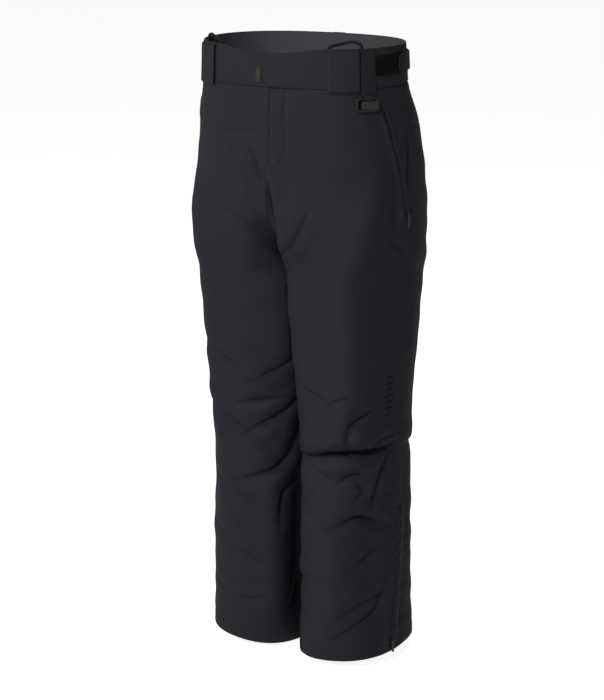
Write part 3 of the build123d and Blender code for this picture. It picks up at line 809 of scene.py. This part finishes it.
def fly_edge(z):
    """Above the fly's bottom the left front reaches a little past the centre."""
    return -0.012 * rise(z, FLY_BOTTOM, 0.01)


def at_x(x):
    """An edge that stays at distance x from the centre front."""
    return lambda z: w_at_x(z, x)


front_left = panel(
    "shell_front_left", LEFT, (fly_edge, 1.0), (SEAM_BAND, HEM), SHELL, counts=(150, 470), body=None,
    replaces=("leg_front_left", "fly_flap"), slot="shell", shape=fly_edge_shape, drop=0.0008,
)
closing(front_left)
J_X, J_TURN, J_DEPTH = 0.036, -0.160, 0.034


def j_seam_x(z):
    """The fly's J seam: straight down from the band, then curving in to the fly's bottom."""
    down = fall(z, J_TURN, J_DEPTH)
    return J_X * np.sqrt(np.maximum(1 - down**2, 0))


closing(panel(
    "fly_flap_edge", LEFT, (-0.014, at_x(0.0085)), (-0.0622, FLY_BOTTOM + 0.008), SHELL, thick=0.0014,
    lift=0.0018, counts=(12, 60), body=None, slot="shell", roll=0.0034, drop=0.0010,
))
closing(panel(
    "fly_seam_fold", LEFT, (lambda z: w_at_x(z, j_seam_x(z) - 0.0068), lambda z: w_at_x(z, j_seam_x(z))),
    (-0.0624, -0.1840), SHELL, thick=0.0010, lift=0.0006, counts=(12, 80), body=None, slot="shell",
    roll=0.0030, drop=0.0007,
))
panel("shell_front_right", RIGHT, (0.0, 1.0), (SEAM_BAND, HEM), SHELL, counts=(150, 470),
      replaces=("leg_front_right",), slot="shell", shape=front_shape, drop=0.0008)
for name, side in SIDES:
    panel(f"shell_back_{name}", side, (1.0, 2.0), (YOKE_BOTTOM + 0.002, HEM), SHELL, counts=(110, 360),
          replaces=(f"leg_back_{name}",), slot="shell", shape=back_shape, drop=0.0010)
yokes = [panel(f"shell_yoke_{name}", side, (1.0, 2.0), (SEAM_BAND, YOKE_BOTTOM), SHELL, counts=(60, 16),
               slot="shell", shape=yoke_shape, drop=0.0010) for name, side in SIDES]
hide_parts("back_yoke")

# ---- waistband -----------------------------------------------------------------------------------
TAB_END_W = float(w_at_x(-0.03, 0.0095))


def band_shape(w, z):
    """The band's soft bulge between its two edges, with a slight pull at its fixings."""
    across = np.clip(-z / BAND, 0, 1)
    return (0.0009 + 0.00035 * np.sin(w * 61) + 0.00025 * np.sin(w * 23 + 1)) * np.sin(math.pi * across)


def tab_shape(w, z):
    """The free end of the band also stands out a little."""
    return band_shape(w, z) + 0.0017 * fall(w, 0.02, 0.02 + TAB_END_W)


BAND_JOIN = 0.492  # under the left belt loop, so that the back doesn't follow the closure


def band(name, side, edges, count, node, rolled=ALL_EDGES, body="pants", shape=band_shape):
    return panel(
        f"waistband_cloth_{name}", side, edges, (0.0, -BAND), SHELL, thick=0.0016, counts=(count, 20),
        body=body, replaces=(node,), slot="shell", rolled=rolled, roll=0.0022, drop=0.0009, shape=shape,
    )


closing(band("left", LEFT, (-TAB_END_W, BAND_JOIN), 60, "closure_tab", ALL_EDGES[:3], None, tab_shape))
band("side", LEFT, (BAND_JOIN, 2.0), 110, "waistband_left", ("top", "bottom", "last"))
band("right", RIGHT, (at_x(0.0062), 2.0), 140, "waistband_right")
facings = [
    panel(f"facing_{name}", side, (at_x(0.056), 2.0), (-0.0008, -0.0602), LINING, thick=0.0012, lift=-0.0019,
          counts=(110, 14), slot="lining", roll=0.0012)
    for name, side in SIDES
]
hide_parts("waistband_facing")


# ---- inner layers --------------------------------------------------------------------------------
def inner_front_edge(z):
    """The inner layers leave the fly free."""
    share = rise(z, -0.262, 0.057)
    return np.where(share > 0, w_at_x(z, 0.050 * share), 0.0)


def quilting(w, z):
    """Sewn channels across the filling."""
    return -0.0011 * np.exp(-((np.mod(z + 0.05, 0.1) - 0.05) / 0.004) ** 2)


def lining_shape(w, z):
    """The lining's top reaches out to the facing's lower edge."""
    return quilting(w, z) + 0.0034 * smooth(rise(z, -0.072, 0.010))


for name, side in SIDES:
    edges = (inner_front_edge, 2.0)
    filling = panel(f"filling_{name}", side, edges, (-0.072, -0.992), QUILT, thick=0.0034, lift=-0.0027,
                    counts=(100, 170), replaces=(f"insulation_{name}",), slot="insulation", roll=0.003,
                    shape=quilting)
    panel(f"lining_cloth_{name}", side, edges, (-0.0595, -1.0), LINING, thick=0.0008, lift=-0.0067,
          counts=(110, 200), replaces=(f"lining_{name}",), slot="lining", roll=0.001, shape=lining_shape)
    panel(f"pocket_bag_cloth_{name}", side, (0.52, 0.9), (-0.080, -0.300), LINING, thick=0.002, lift=-0.0082,
          counts=(26, 40), replaces=(f"pocket_bag_{name}",), slot="lining", roll=0.003)
    panel(f"ankle_gusset_cloth_{name}", side, (0.86, 0.97), (-0.800, -0.996), LINING, thick=0.0008,
          lift=-0.0081, counts=(16, 40), replaces=(f"ankle_gusset_{name}",), slot="lining", roll=0.001)


# ---- cuffs ---------------------------------------------------------------------------------------
GAITER_TOP = -0.845
ROUND_LEG = (0.004, 1.996)


def gaiter_lift(w, z):
    """The gaiter narrows downwards and gathers towards its elastic."""
    down = fall(z, GAITER_TOP, 0.155)
    gathers = np.sin(w * 95 + 1.5 * np.sin(w * 17)) * 0.0012 * down**2
    return -0.0092 - 0.012 * down + gathers


def scuff_w(z):
    """The scuff guard's slanting edge."""
    return 0.08 + 0.22 * fall(z, -0.885, 0.143)


def elastic_lift(w, z):
    """The elastic keeps a fine ripple."""
    return -0.0222 + 0.0004 * np.sin(w * 210)


hem_facings, elastics = [], []
for name, side in SIDES:
    panel(f"gaiter_cloth_{name}", side, ROUND_LEG, (GAITER_TOP, -1.0), LINING, thick=0.001, counts=(240, 40),
          replaces=(f"gaiter_{name}",), slot="lining", roll=0.001, shape=gaiter_lift)
    hem_facings.append(panel(f"hem_facing_{name}", side, ROUND_LEG, (-1.004, HEM), SHELL, thick=0.0012,
                             lift=-0.0018, counts=(150, 8), slot="shell", roll=0.001))
    elastics.append(panel(f"gaiter_elastic_{name}", side, ROUND_LEG, (-0.990, -1.0), ELASTIC, thick=0.0016,
                          counts=(260, 6), slot="webbing", roll=0.0008, shape=elastic_lift))
    for face, edges in (("front", (0.06, scuff_w)), ("back", (lambda z: 2 - scuff_w(z), 1.94))):
        guard = panel(f"scuff_{face}_{name}", side, edges, (-0.895, -1.0275), SCUFF, thick=0.0009,
                      lift=0.0013, counts=(40, 80), slot="scuff", roll=0.0012, shape=hem_step)
        if face == "front":
            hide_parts(f"scuff_guard_{name}")
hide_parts("hem_bands")
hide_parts("gaiter_elastics")

# ---- belt loops, adjusters and webbing -------------------------------------------------------------
WEB = 0.0016
LOOP_EDGES = (0.393, 0.591)
LOOP_BOTTOM = 0.069
LOOP_LIFT = WEB + 0.0003
WAIST_SPAN = 0.15  # metres of cloth for one w, at the waist's side


def loop_shape(w, z):
    """The loop is sewn down at both ends and stands off the band between them."""
    return 0.0034 * smooth(np.minimum(fall(z, -0.0010, 0.004), rise(z, 0.0005 - LOOP_BOTTOM, 0.005)))


def rounded(first, heights, radius=0.007, sign=1):
    """An edge whose two corners, at the top and bottom heights, are rounded."""

    def edge(z):
        d = np.clip(np.minimum(heights[0] - z, z - heights[1]), 0, radius)
        return first + sign * (radius - np.sqrt(radius**2 - (radius - d) ** 2)) / WAIST_SPAN

    return edge


LOOP_HEIGHTS = (0.0005, -LOOP_BOTTOM)
for name, side in SIDES:
    panel(f"belt_loop_cloth_{name}", side, LOOP_EDGES, LOOP_HEIGHTS, SHELL, thick=WEB, lift=LOOP_LIFT,
          counts=(40, 60), replaces=(f"belt_loop_front_{name}",), slot="shell", shape=loop_shape)
BACK_W = 0.022 / 2 / 0.172 / (math.pi / 2)
back_loops = [
    panel(f"belt_loop_back_cloth_{name}", side, (2 - BACK_W, 2.0), LOOP_HEIGHTS, SHELL, thick=WEB,
          lift=LOOP_LIFT, counts=(14, 60), slot="shell", roll=0.0014, shape=loop_shape, rolled=ALL_EDGES[:3])
    for name, side in SIDES
]
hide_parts("belt_loop_back")

PATCH, STRAP, HOOKS = (-0.012, -0.044), (-0.014, -0.042), (-0.015, -0.041)
for name, side in SIDES:
    edges = rounded(0.724, PATCH, 0.003), rounded(1.07, PATCH, 0.003, -1)
    panel(f"adjuster_patch_{name}", side, edges, PATCH, PILE, thick=0.001, lift=0.0022,
                         counts=(50, 30), slot="hook_loop", roll=0.001)
    edges = rounded(0.985, STRAP), rounded(1.42, STRAP, 0.002, -1)
    tab = panel(f"adjuster_strap_{name}", side, edges, STRAP, TRIM, thick=WEB, lift=0.0046,
                counts=(60, 24), body=None, replaces=(f"adjuster_tab_{name}",), slot="webbing", roll=0.0012)
    hooks = panel(f"adjuster_hook_pad_{name}", side, (rounded(0.997, HOOKS), 1.17), HOOKS, PILE, thick=0.0004,
                  lift=0.0029, counts=(40, 20), body=None, replaces=(f"adjuster_hooks_{name}",),
                  slot="hook_loop", roll=0.0004)
    start, end = [tuple(float(v) for v in base(side, w, -0.031)[0]) for w in (1.42, 1.22)]
    for made in (tab, hooks):
        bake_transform(made)
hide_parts("adjuster_patches")


def frame_at(side, w, z, lift):
    """A place on the smooth garment, and the directions across, up and out from it."""
    here = base(side, w, z, -lift)[0]
    across = (base(side, w + 0.004, z, -lift)[0] - here) * side
    up = base(side, w, z + 0.001, -lift)[0] - here
    across = across / np.linalg.norm(across)
    out = np.cross(across, up)
    out = out / np.linalg.norm(out)
    return here, across, np.cross(out, across), out


def swept(sections, closed_path=False):
    """Joins cross-section loops along a path, with capped ends unless the path is closed."""
    count = len(sections[0])
    verts = np.concatenate(sections)
    faces = []
    steps = len(sections) if closed_path else len(sections) - 1
    for i in range(steps):
        a, b = i * count, (i + 1) % len(sections) * count
        for j in range(count):
            k = (j + 1) % count
            faces.append((a + j, a + k, b + k, b + j))
    if not closed_path:
        faces.append(tuple(reversed(range(count))))
        faces.append(tuple(range((len(sections) - 1) * count, len(sections) * count)))
    return verts, faces


def outline(width, height, radius, corner=5):
    """A rounded rectangle's points, anticlockwise, about its centre."""
    points = []
    for cx, cy, start in ((1, 1, 0), (-1, 1, 90), (-1, -1, 180), (1, -1, 270)):
        for i in range(corner + 1):
            a = math.radians(start + 90 * i / corner)
            x = cx * (width / 2 - radius) + radius * math.cos(a)
            points.append((x, cy * (height / 2 - radius) + radius * math.sin(a)))
    return np.array(points)


def slab(name, place, size, radius, look, body="pants", replaces=(), slot=None, edge=0.0004):
    """A flat piece with softened edges, centred across its place and rising outwards from it."""
    here, across, up, out = place
    width, height, thick = size
    loops = []
    for level, inset in ((0, edge), (edge, 0), (thick - edge, 0), (thick, edge)):
        flat = outline(width - 2 * inset, height - 2 * inset, max(radius - inset, edge))
        loops.append(here + flat[:, :1] * across + flat[:, 1:] * up + level * out)
    verts, faces = swept(loops)
    return piece(name, verts, faces, look, body, replaces, slot, soft=False)


def ribbon(name, place, path, width, thick, look, slot, columns=9):
    """A strap of even thickness that follows a path in the (out, up) plane, with rounded side edges."""
    here, across, up, out = place
    along = directions(path)
    normal = np.stack([along[:, 1], -along[:, 0]], 1)
    across_at = np.concatenate([[-0.5, -0.485], np.linspace(-0.46, 0.46, columns), [0.485, 0.5]]) * width
    soft = np.concatenate([[0.25, 0.8], np.ones(columns), [0.8, 0.25]]) * thick / 2
    sections = []
    for centre, n in zip(path, normal):
        top, low = [
            [here + x * across + (centre[0] + n[0] * h) * out + (centre[1] + n[1] * h) * up
             for x, h in zip(across_at, face * soft)]
            for face in (1, -1)
        ]
        sections.append(np.array(top + low[::-1]))
    verts, faces = swept(sections)
    return piece(name, verts, faces, look, slot=slot)


WEBBING_SECTION = (
    (-0.9, 2.0), (-0.5, 2.5), (0.5, 2.5), (0.9, 2.0), (0.9, -2.0), (0.5, -2.5), (-0.5, -2.5), (-0.9, -2.0)
)


def arch(name, side):
    """A narrow webbing loop whose ends are sewn inside the rim, leaning to one side as it rises."""
    here, across, up, out = frame_at(side, 0.50, 0.0, -0.0099)
    corners = [(-0.026, -0.024), (-0.026, 0.0030), (0.010, 0.0105), (0.025, 0.0060), (0.026, -0.024)]
    line = bend(corners, 0.0062)
    sections = []
    for (x, y), (dx, dy) in zip(line, directions(line)):
        centre = here + x * side * across + y * up
        normal = -dy * side * across + dx * up
        sections.append(np.array([centre + i * MM * out + j * MM * normal for i, j in WEBBING_SECTION]))
    verts, faces = swept(sections)
    piece(f"suspender_webbing_{name}", verts, faces, WEBBING, "pants", (f"suspender_loop_{name}",), "webbing")


def bend(corners, radius, steps=7):
    """A line through rounded corners, as evenly spread points."""
    corners = np.array(corners, float)
    points = [corners[0]]
    for before, corner, after in zip(corners, corners[1:], corners[2:]):
        to_before, to_after = before - corner, after - corner
        cut = min(radius, np.linalg.norm(to_before) * 0.45, np.linalg.norm(to_after) * 0.45)
        first = corner + to_before / np.linalg.norm(to_before) * cut
        last = corner + to_after / np.linalg.norm(to_after) * cut
        for t in np.linspace(0, 1, steps):
            points.append((1 - t) ** 2 * first + 2 * t * (1 - t) * corner + t**2 * last)
    points.append(corners[-1])
    return np.array(points)


for name, side in SIDES:
    arch(name, side)

# ---- lift-pass strap, ring and plate ---------------------------------------------------------------
RING_SIZE, RING_WIRE = (0.038, 0.022), 0.0018
RING_BODY = "lift_ring_body"
EYE_RADIUS = 0.0033
panel("ring_strap_cloth", LEFT, (0.598, 0.718), (-0.002, -0.0755), TRIM, thick=0.0012, lift=0.0021,
      counts=(22, 50), slot="shell", roll=0.0010, replaces=("ring_strap",),
      shape=lambda w, z: 0.0006 * np.sin(w * 90 + z * 60) ** 2)
here, across, up, out = frame_at(LEFT, 0.635, -0.076, 0.0054)
turns = np.linspace(math.pi * 0.98, -math.pi * 0.98, 33)
eye = [(EYE_RADIUS * math.cos(a), EYE_RADIUS * math.sin(a)) for a in turns]
ribbon("ring_strap_eye", (here + across * 0.002, across, up, out), eye, 0.014, 0.0012, TRIM, slot="shell")
track = outline(RING_SIZE[0] - 2 * RING_WIRE, RING_SIZE[1] - 2 * RING_WIRE, 0.0032, 6)
middle = here - up * (RING_SIZE[1] / 2 - RING_WIRE)
sections = []
for i in range(len(track)):
    ahead, behind = track[(i + 1) % len(track)], track[i - 1]
    way = (ahead - behind) / np.linalg.norm(ahead - behind)
    side_way = np.array([way[1], -way[0]])
    ring_points = []
    for a in (2 * math.pi * k / 12 for k in range(12)):
        spread, lift_by = [
            RING_WIRE * abs(turn) ** 0.6 * (1 if turn > 0 else -1) for turn in (math.cos(a), math.sin(a))
        ]
        flat = track[i] + side_way * spread
        ring_points.append(middle + flat[0] * across + flat[1] * up + lift_by * out)
    sections.append(np.array(ring_points))
verts, faces = swept(sections, closed_path=True)
piece("lift_ring_wire", verts, faces, METAL, RING_BODY, ("lift_ring",), "dark_metal")
plate_centre = here + across * 0.0034 - up * 0.01045 - out * 0.0008
slab("ring_plate_face", (plate_centre, across, up, out), (0.0262, 0.0132, 0.0016), 0.0022, OLIVE,
     RING_BODY, ("ring_plate",), "olive")
# The first slab is a painted hole: a flat dark square on the plate's face that stands in for the shade inside
# the plate's hole. The second is a raised olive boss.
for number, (x, size, look) in enumerate((
    (-0.0088, (0.0036, 0.0036, 0.0005), METAL),
    (0.0021, (0.0150, 0.0062, 0.0005), OLIVE),
)):
    slab(f"ring_plate_boss_and_painted_hole_{number}", (plate_centre + across * x + out * 0.0014, across, up, out), size,
         0.0015, look, RING_BODY, (), "olive", 0.0002)

# ---- keeper tab at the end of the closure ----------------------------------------------------------
KEEPER_Z = -0.043


def raised(place, by):
    """The same place, moved outwards."""
    return (place[0] + place[3] * by, *place[1:])


keeper = frame_at(RIGHT, float(w_at_x(KEEPER_Z, 0.0105)), KEEPER_Z, 0.0020)
slab("keeper_frame", keeper, (0.0125, 0.0245, 0.0014), 0.002, METAL, "closure", (), "dark_metal")
slab("keeper_face", raised(keeper, 0.0012), (0.0062, 0.0150, 0.0010), 0.0012, OLIVE, "closure",
     ("keeper_tab",), "olive")

# ---- fly and snap underlaps ------------------------------------------------------------------------
band_middle = frame_at(LEFT, 0.0, -0.0345, 0.0)
slab("snap_underlap_cloth", raised(band_middle, -0.0059), (0.046, 0.045, 0.0015), 0.004, SHELL,
     replaces=("snap_underlap",), slot="shell")
low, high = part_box("fly_underlap")
flat_axes = (np.array([1.0, 0, 0]), np.array([0, 0, 1.0]), np.array([0, -1.0, 0]))
slab("fly_underlap_cloth", (np.array([(low.x + high.x) / 2, high.y, (low.z + high.z) / 2]), *flat_axes),
     (high.x - low.x, high.z - low.z, high.y - low.y), 0.004, SHELL, replaces=("fly_underlap",), slot="shell")


# ---- side mark: plain raised bars ------------------------------------------------------------------
MARK_TOP, MARK_BOTTOM, MARK_W, BARS, BAR_HALF = -0.528, -0.603, 0.905, 7, 0.0024
for number in range(BARS):
    z_here = MARK_TOP + (MARK_BOTTOM - MARK_TOP) * (number + 0.5) / BARS
    half = 0.030 if number % 2 else 0.021
    bar_piece = panel(f"side_bar_{number}", LEFT, (MARK_W - half, MARK_W + half),
                      (z_here + BAR_HALF, z_here - BAR_HALF), MARK, thick=0.0009, lift=0.0009, counts=(16, 8),
                      slot="mark", roll=0.0004)
    if number == 0:
        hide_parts("side_mark")


# ---- zip welts: the shell's lips beside each exposed zip ---------------------------------------------
POCKET_TOP, ANKLE_TOP = -0.090, -0.771


def beside(route, sign, metres):
    """A line that runs along a zip's route, to one side of it."""
    return lambda z: route(z) + sign * metres / SIDE_SPAN


def welt(name, side, route, top, bottom, sign, pucker):
    """One rolled lip of shell cloth along a zip."""

    def lip(w, z):
        roll = hump(np.abs(w - route(z)) * SIDE_SPAN, 0.0032, 0.0030)
        ends = np.clip(np.minimum(top - z, z - bottom) / 0.012, 0, 1)
        return 0.0004 + 0.0022 * roll * (1 + pucker * ruffles(z, 1.2 * sign)) * ends

    edges = (beside(route, sign, 0.0009), beside(route, sign, 0.0100))[::sign]
    panel(name, side, edges, (top, bottom), SHELL, thick=0.0006, counts=(18, 200), slot="shell", roll=0.0010,
          shape=lip)


for name, side in SIDES:
    for sign, which in ((1, "rear"), (-1, "front")):
        welt(f"pocket_welt_{which}_{name}", side, pocket_w, POCKET_TOP, -0.284, sign, 0.1)
        welt(f"ankle_welt_{which}_{name}", side, ankle_w, ANKLE_TOP, -1.0265, sign, 0.4)

# ---- CAD nodes that stay -----------------------------------------------------------------------------
LOOKS = {
    TAPE: ("fly_zip_tapes", "pocket_zip_tapes", "ankle_zip_tapes"),
    ZIP: ("fly_zip_teeth", "pocket_zip_teeth", "ankle_zip_teeth"),
    METAL: ("fly_slider", "fly_puller", "snap_studs", "snap_sockets") + tuple(
        f"{kind}_{part}_{name}"
        for kind in ("pocket", "ankle") for part in ("slider", "puller") for name, _ in SIDES
    ),
}
for look, nodes in LOOKS.items():
    for node in nodes:
        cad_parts[node].data.materials.clear()
        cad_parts[node].data.materials.append(look)


# ---- stitching ---------------------------------------------------------------------------------------
stitches = {"pants": ([], []), "closure": ([], [])}
PITCH, LENGTH, THICK = 0.0036, 0.0026, 0.00032


def sew(side, w, z, lift=0.0, group="pants"):
    """A row of short stitches along places (w, z) on the garment."""
    w, z = np.broadcast_arrays(np.asarray(w, float), np.asarray(z, float))
    points, normals = cloth(side, w, z, lift)
    run = np.concatenate([[0], np.cumsum(np.linalg.norm(np.diff(points, axis=0), axis=1))])
    verts, faces = stitches[group]

    def along(values, at):
        return np.array([np.interp(at, run, values[:, i]) for i in range(3)])

    for at in np.arange(PITCH / 2, run[-1], PITCH):
        ends = along(points, at - LENGTH / 2), along(points, at + LENGTH / 2)
        normal = along(normals, at)
        normal /= np.linalg.norm(normal)
        way = ends[1] - ends[0]
        way /= np.linalg.norm(way)
        over = np.cross(normal, way)
        first = len(verts)
        for end, tip in ((ends[0], -1), (ends[1], 1)):
            verts.append(end + way * tip * 0.0001 - normal * THICK * 0.4)
            for angle in (0.3, 1.1, 2.0, 2.85):
                spoke = over * math.cos(angle) * 0.8 + normal * math.sin(angle)
                verts.append(end - way * tip * 0.0003 + spoke * THICK)
        for k in range(1, 4):
            faces.append((first + k, first + k + 1, first + k + 6, first + k + 5))
            faces.append((first, first + k + 1, first + k))
            faces.append((first + 5, first + 5 + k, first + 6 + k))


def whole(first, last, count=400):
    """Close places from first to last, for a seam to follow."""
    return np.linspace(first, last, count)


for name, side in SIDES:
    front_w = whole(0.09 if side == LEFT else 0.045, 2.0)
    for level in (-0.004, -0.058):
        sew(side, front_w, level, 0.0004)
    for level in (-0.0655, -0.0705):
        sew(side, whole(0.26 if side == LEFT else 0.01, 1.0, 250), level)
        sew(side, whole(1.0, 2.0, 250), level)
    for level in (-0.134, -0.139):
        sew(side, whole(1.01, 1.99, 250), level)
    sew(side, whole(0.02, 1.98, 600), -1.0080)
    for offset in (0.026, 0.060):
        sew(side, 1 + offset, whole(-0.14, -1.004, 500))
    for level, first, tilt in DARTS:
        dart_w = whole(first + 0.01, 0.99, 60)
        for gap in (0.004, -0.004):
            sew(side, dart_w, level + gap + 0.02 * (dart_w - DART_END) * tilt)
    for edge in (LOOP_EDGES[0] + 0.022, LOOP_EDGES[1] - 0.022):
        levels = whole(-0.003, -0.066, 60)
        sew(side, edge, levels, LOOP_LIFT + loop_shape(edge, levels))
    for level in (-0.0032, -0.0640):
        loop_w = whole(LOOP_EDGES[0] + 0.02, LOOP_EDGES[1] - 0.02, 60)
        sew(side, loop_w, level, LOOP_LIFT + float(loop_shape(0.5, level)))
    for sign in (1, -1):
        levels = whole(POCKET_TOP, -0.286, 120)
        sew(side, beside(pocket_w, sign, 0.0125)(levels), levels)
        levels = whole(ANKLE_TOP, -1.0, 140)
        sew(side, beside(ankle_w, sign, 0.0125)(levels), levels)
    for level in (-0.0140, -0.0420):
        sew(side, whole(0.732, 0.975, 60), level, 0.0021)

# fly: the J seam and the closure's own rows
j_levels = whole(-0.064, J_TURN - J_DEPTH * 0.97, 120)
for inset in (0.0014, 0.0056):
    sew(LEFT, w_at_x(j_levels, np.maximum(j_seam_x(j_levels) - inset, 0.001)), j_levels, 0.0014, "closure")
for level in (-0.004, -0.058):
    sew(LEFT, whole(-TAB_END_W + 0.02, 0.09, 80), level, 0.0010, "closure")
sew(LEFT, -TAB_END_W + 0.028, whole(-0.006, -0.056, 40), 0.0016, "closure")
sew(LEFT, whole(0.0, 0.26, 80), -0.0655, 0.0004, "closure")
for side in (LEFT, RIGHT):
    sew(side, 0.035, whole(-0.200, -0.350, 80))
piece("stitching_pants", *stitches["pants"], THREAD, slot="shell")
closing(piece("stitching_closure", *stitches["closure"], THREAD, None, slot="shell"))


# ---- camera, floor and light ---------------------------------------------------------------------
CAMERA_TURN = math.radians(32)
CAMERA_RANGE, CAMERA_HEIGHT = 2.9, 0.262
AIM = Vector((0, 0, -0.520))
LIGHT_AIM = Vector((0, 0, -0.5))
camera_data = bpy.data.cameras.new("camera")
camera_data.sensor_width = 36
camera_data.lens = 92.06
camera_data.shift_x = -1 / 700
camera_data.shift_y = 3 / 700
camera = bpy.data.objects.new("camera", camera_data)
camera.location = (math.sin(CAMERA_TURN) * CAMERA_RANGE, -math.cos(CAMERA_TURN) * CAMERA_RANGE, CAMERA_HEIGHT)
camera.rotation_euler = (AIM - camera.location).to_track_quat("-Z", "Y").to_euler()
scene.collection.objects.link(camera)
scene.camera = camera
scene.view_settings.view_transform = "Standard"

floor_mesh = bpy.data.meshes.new("floor")
FLOOR_Z = cad_box[0].z - 0.003
corners = [(-30, -30, FLOOR_Z), (30, -30, FLOOR_Z), (30, 30, FLOOR_Z), (-30, 30, FLOOR_Z)]
floor_mesh.from_pydata(corners, [], [(0, 1, 2, 3)])
floor = bpy.data.objects.new("floor", floor_mesh)
scene.collection.objects.link(floor)
pale, _, pale_shader = material("pale_floor", (0.30, 0.30, 0.30), 0.9, 0.0)
pale_shader.inputs["Emission Color"].default_value = (1, 1, 1, 1)
pale_shader.inputs["Emission Strength"].default_value = 0.91
floor_mesh.materials.append(pale)


def area_light(name, place, size, power):
    light = bpy.data.lights.new(name, "AREA")
    light.energy = power
    light.size = size
    made = bpy.data.objects.new(name, light)
    made.location = place
    made.rotation_euler = (LIGHT_AIM - Vector(place)).to_track_quat("-Z", "Y").to_euler()
    scene.collection.objects.link(made)


area_light("key_left", (-2.3, -2.5, 2.1), 0.7, 123)
area_light("key_front", (0.45, -3.2, 1.9), 0.7, 157)
area_light("back_fill", (-1.2, 3.1, 1.9), 1.6, 70)
world = bpy.data.worlds.new("studio")
world.use_nodes = True
world.node_tree.nodes["Background"].inputs["Color"].default_value = (1, 1, 1, 1)
world.node_tree.nodes["Background"].inputs["Strength"].default_value = 0.17
scene.world = world
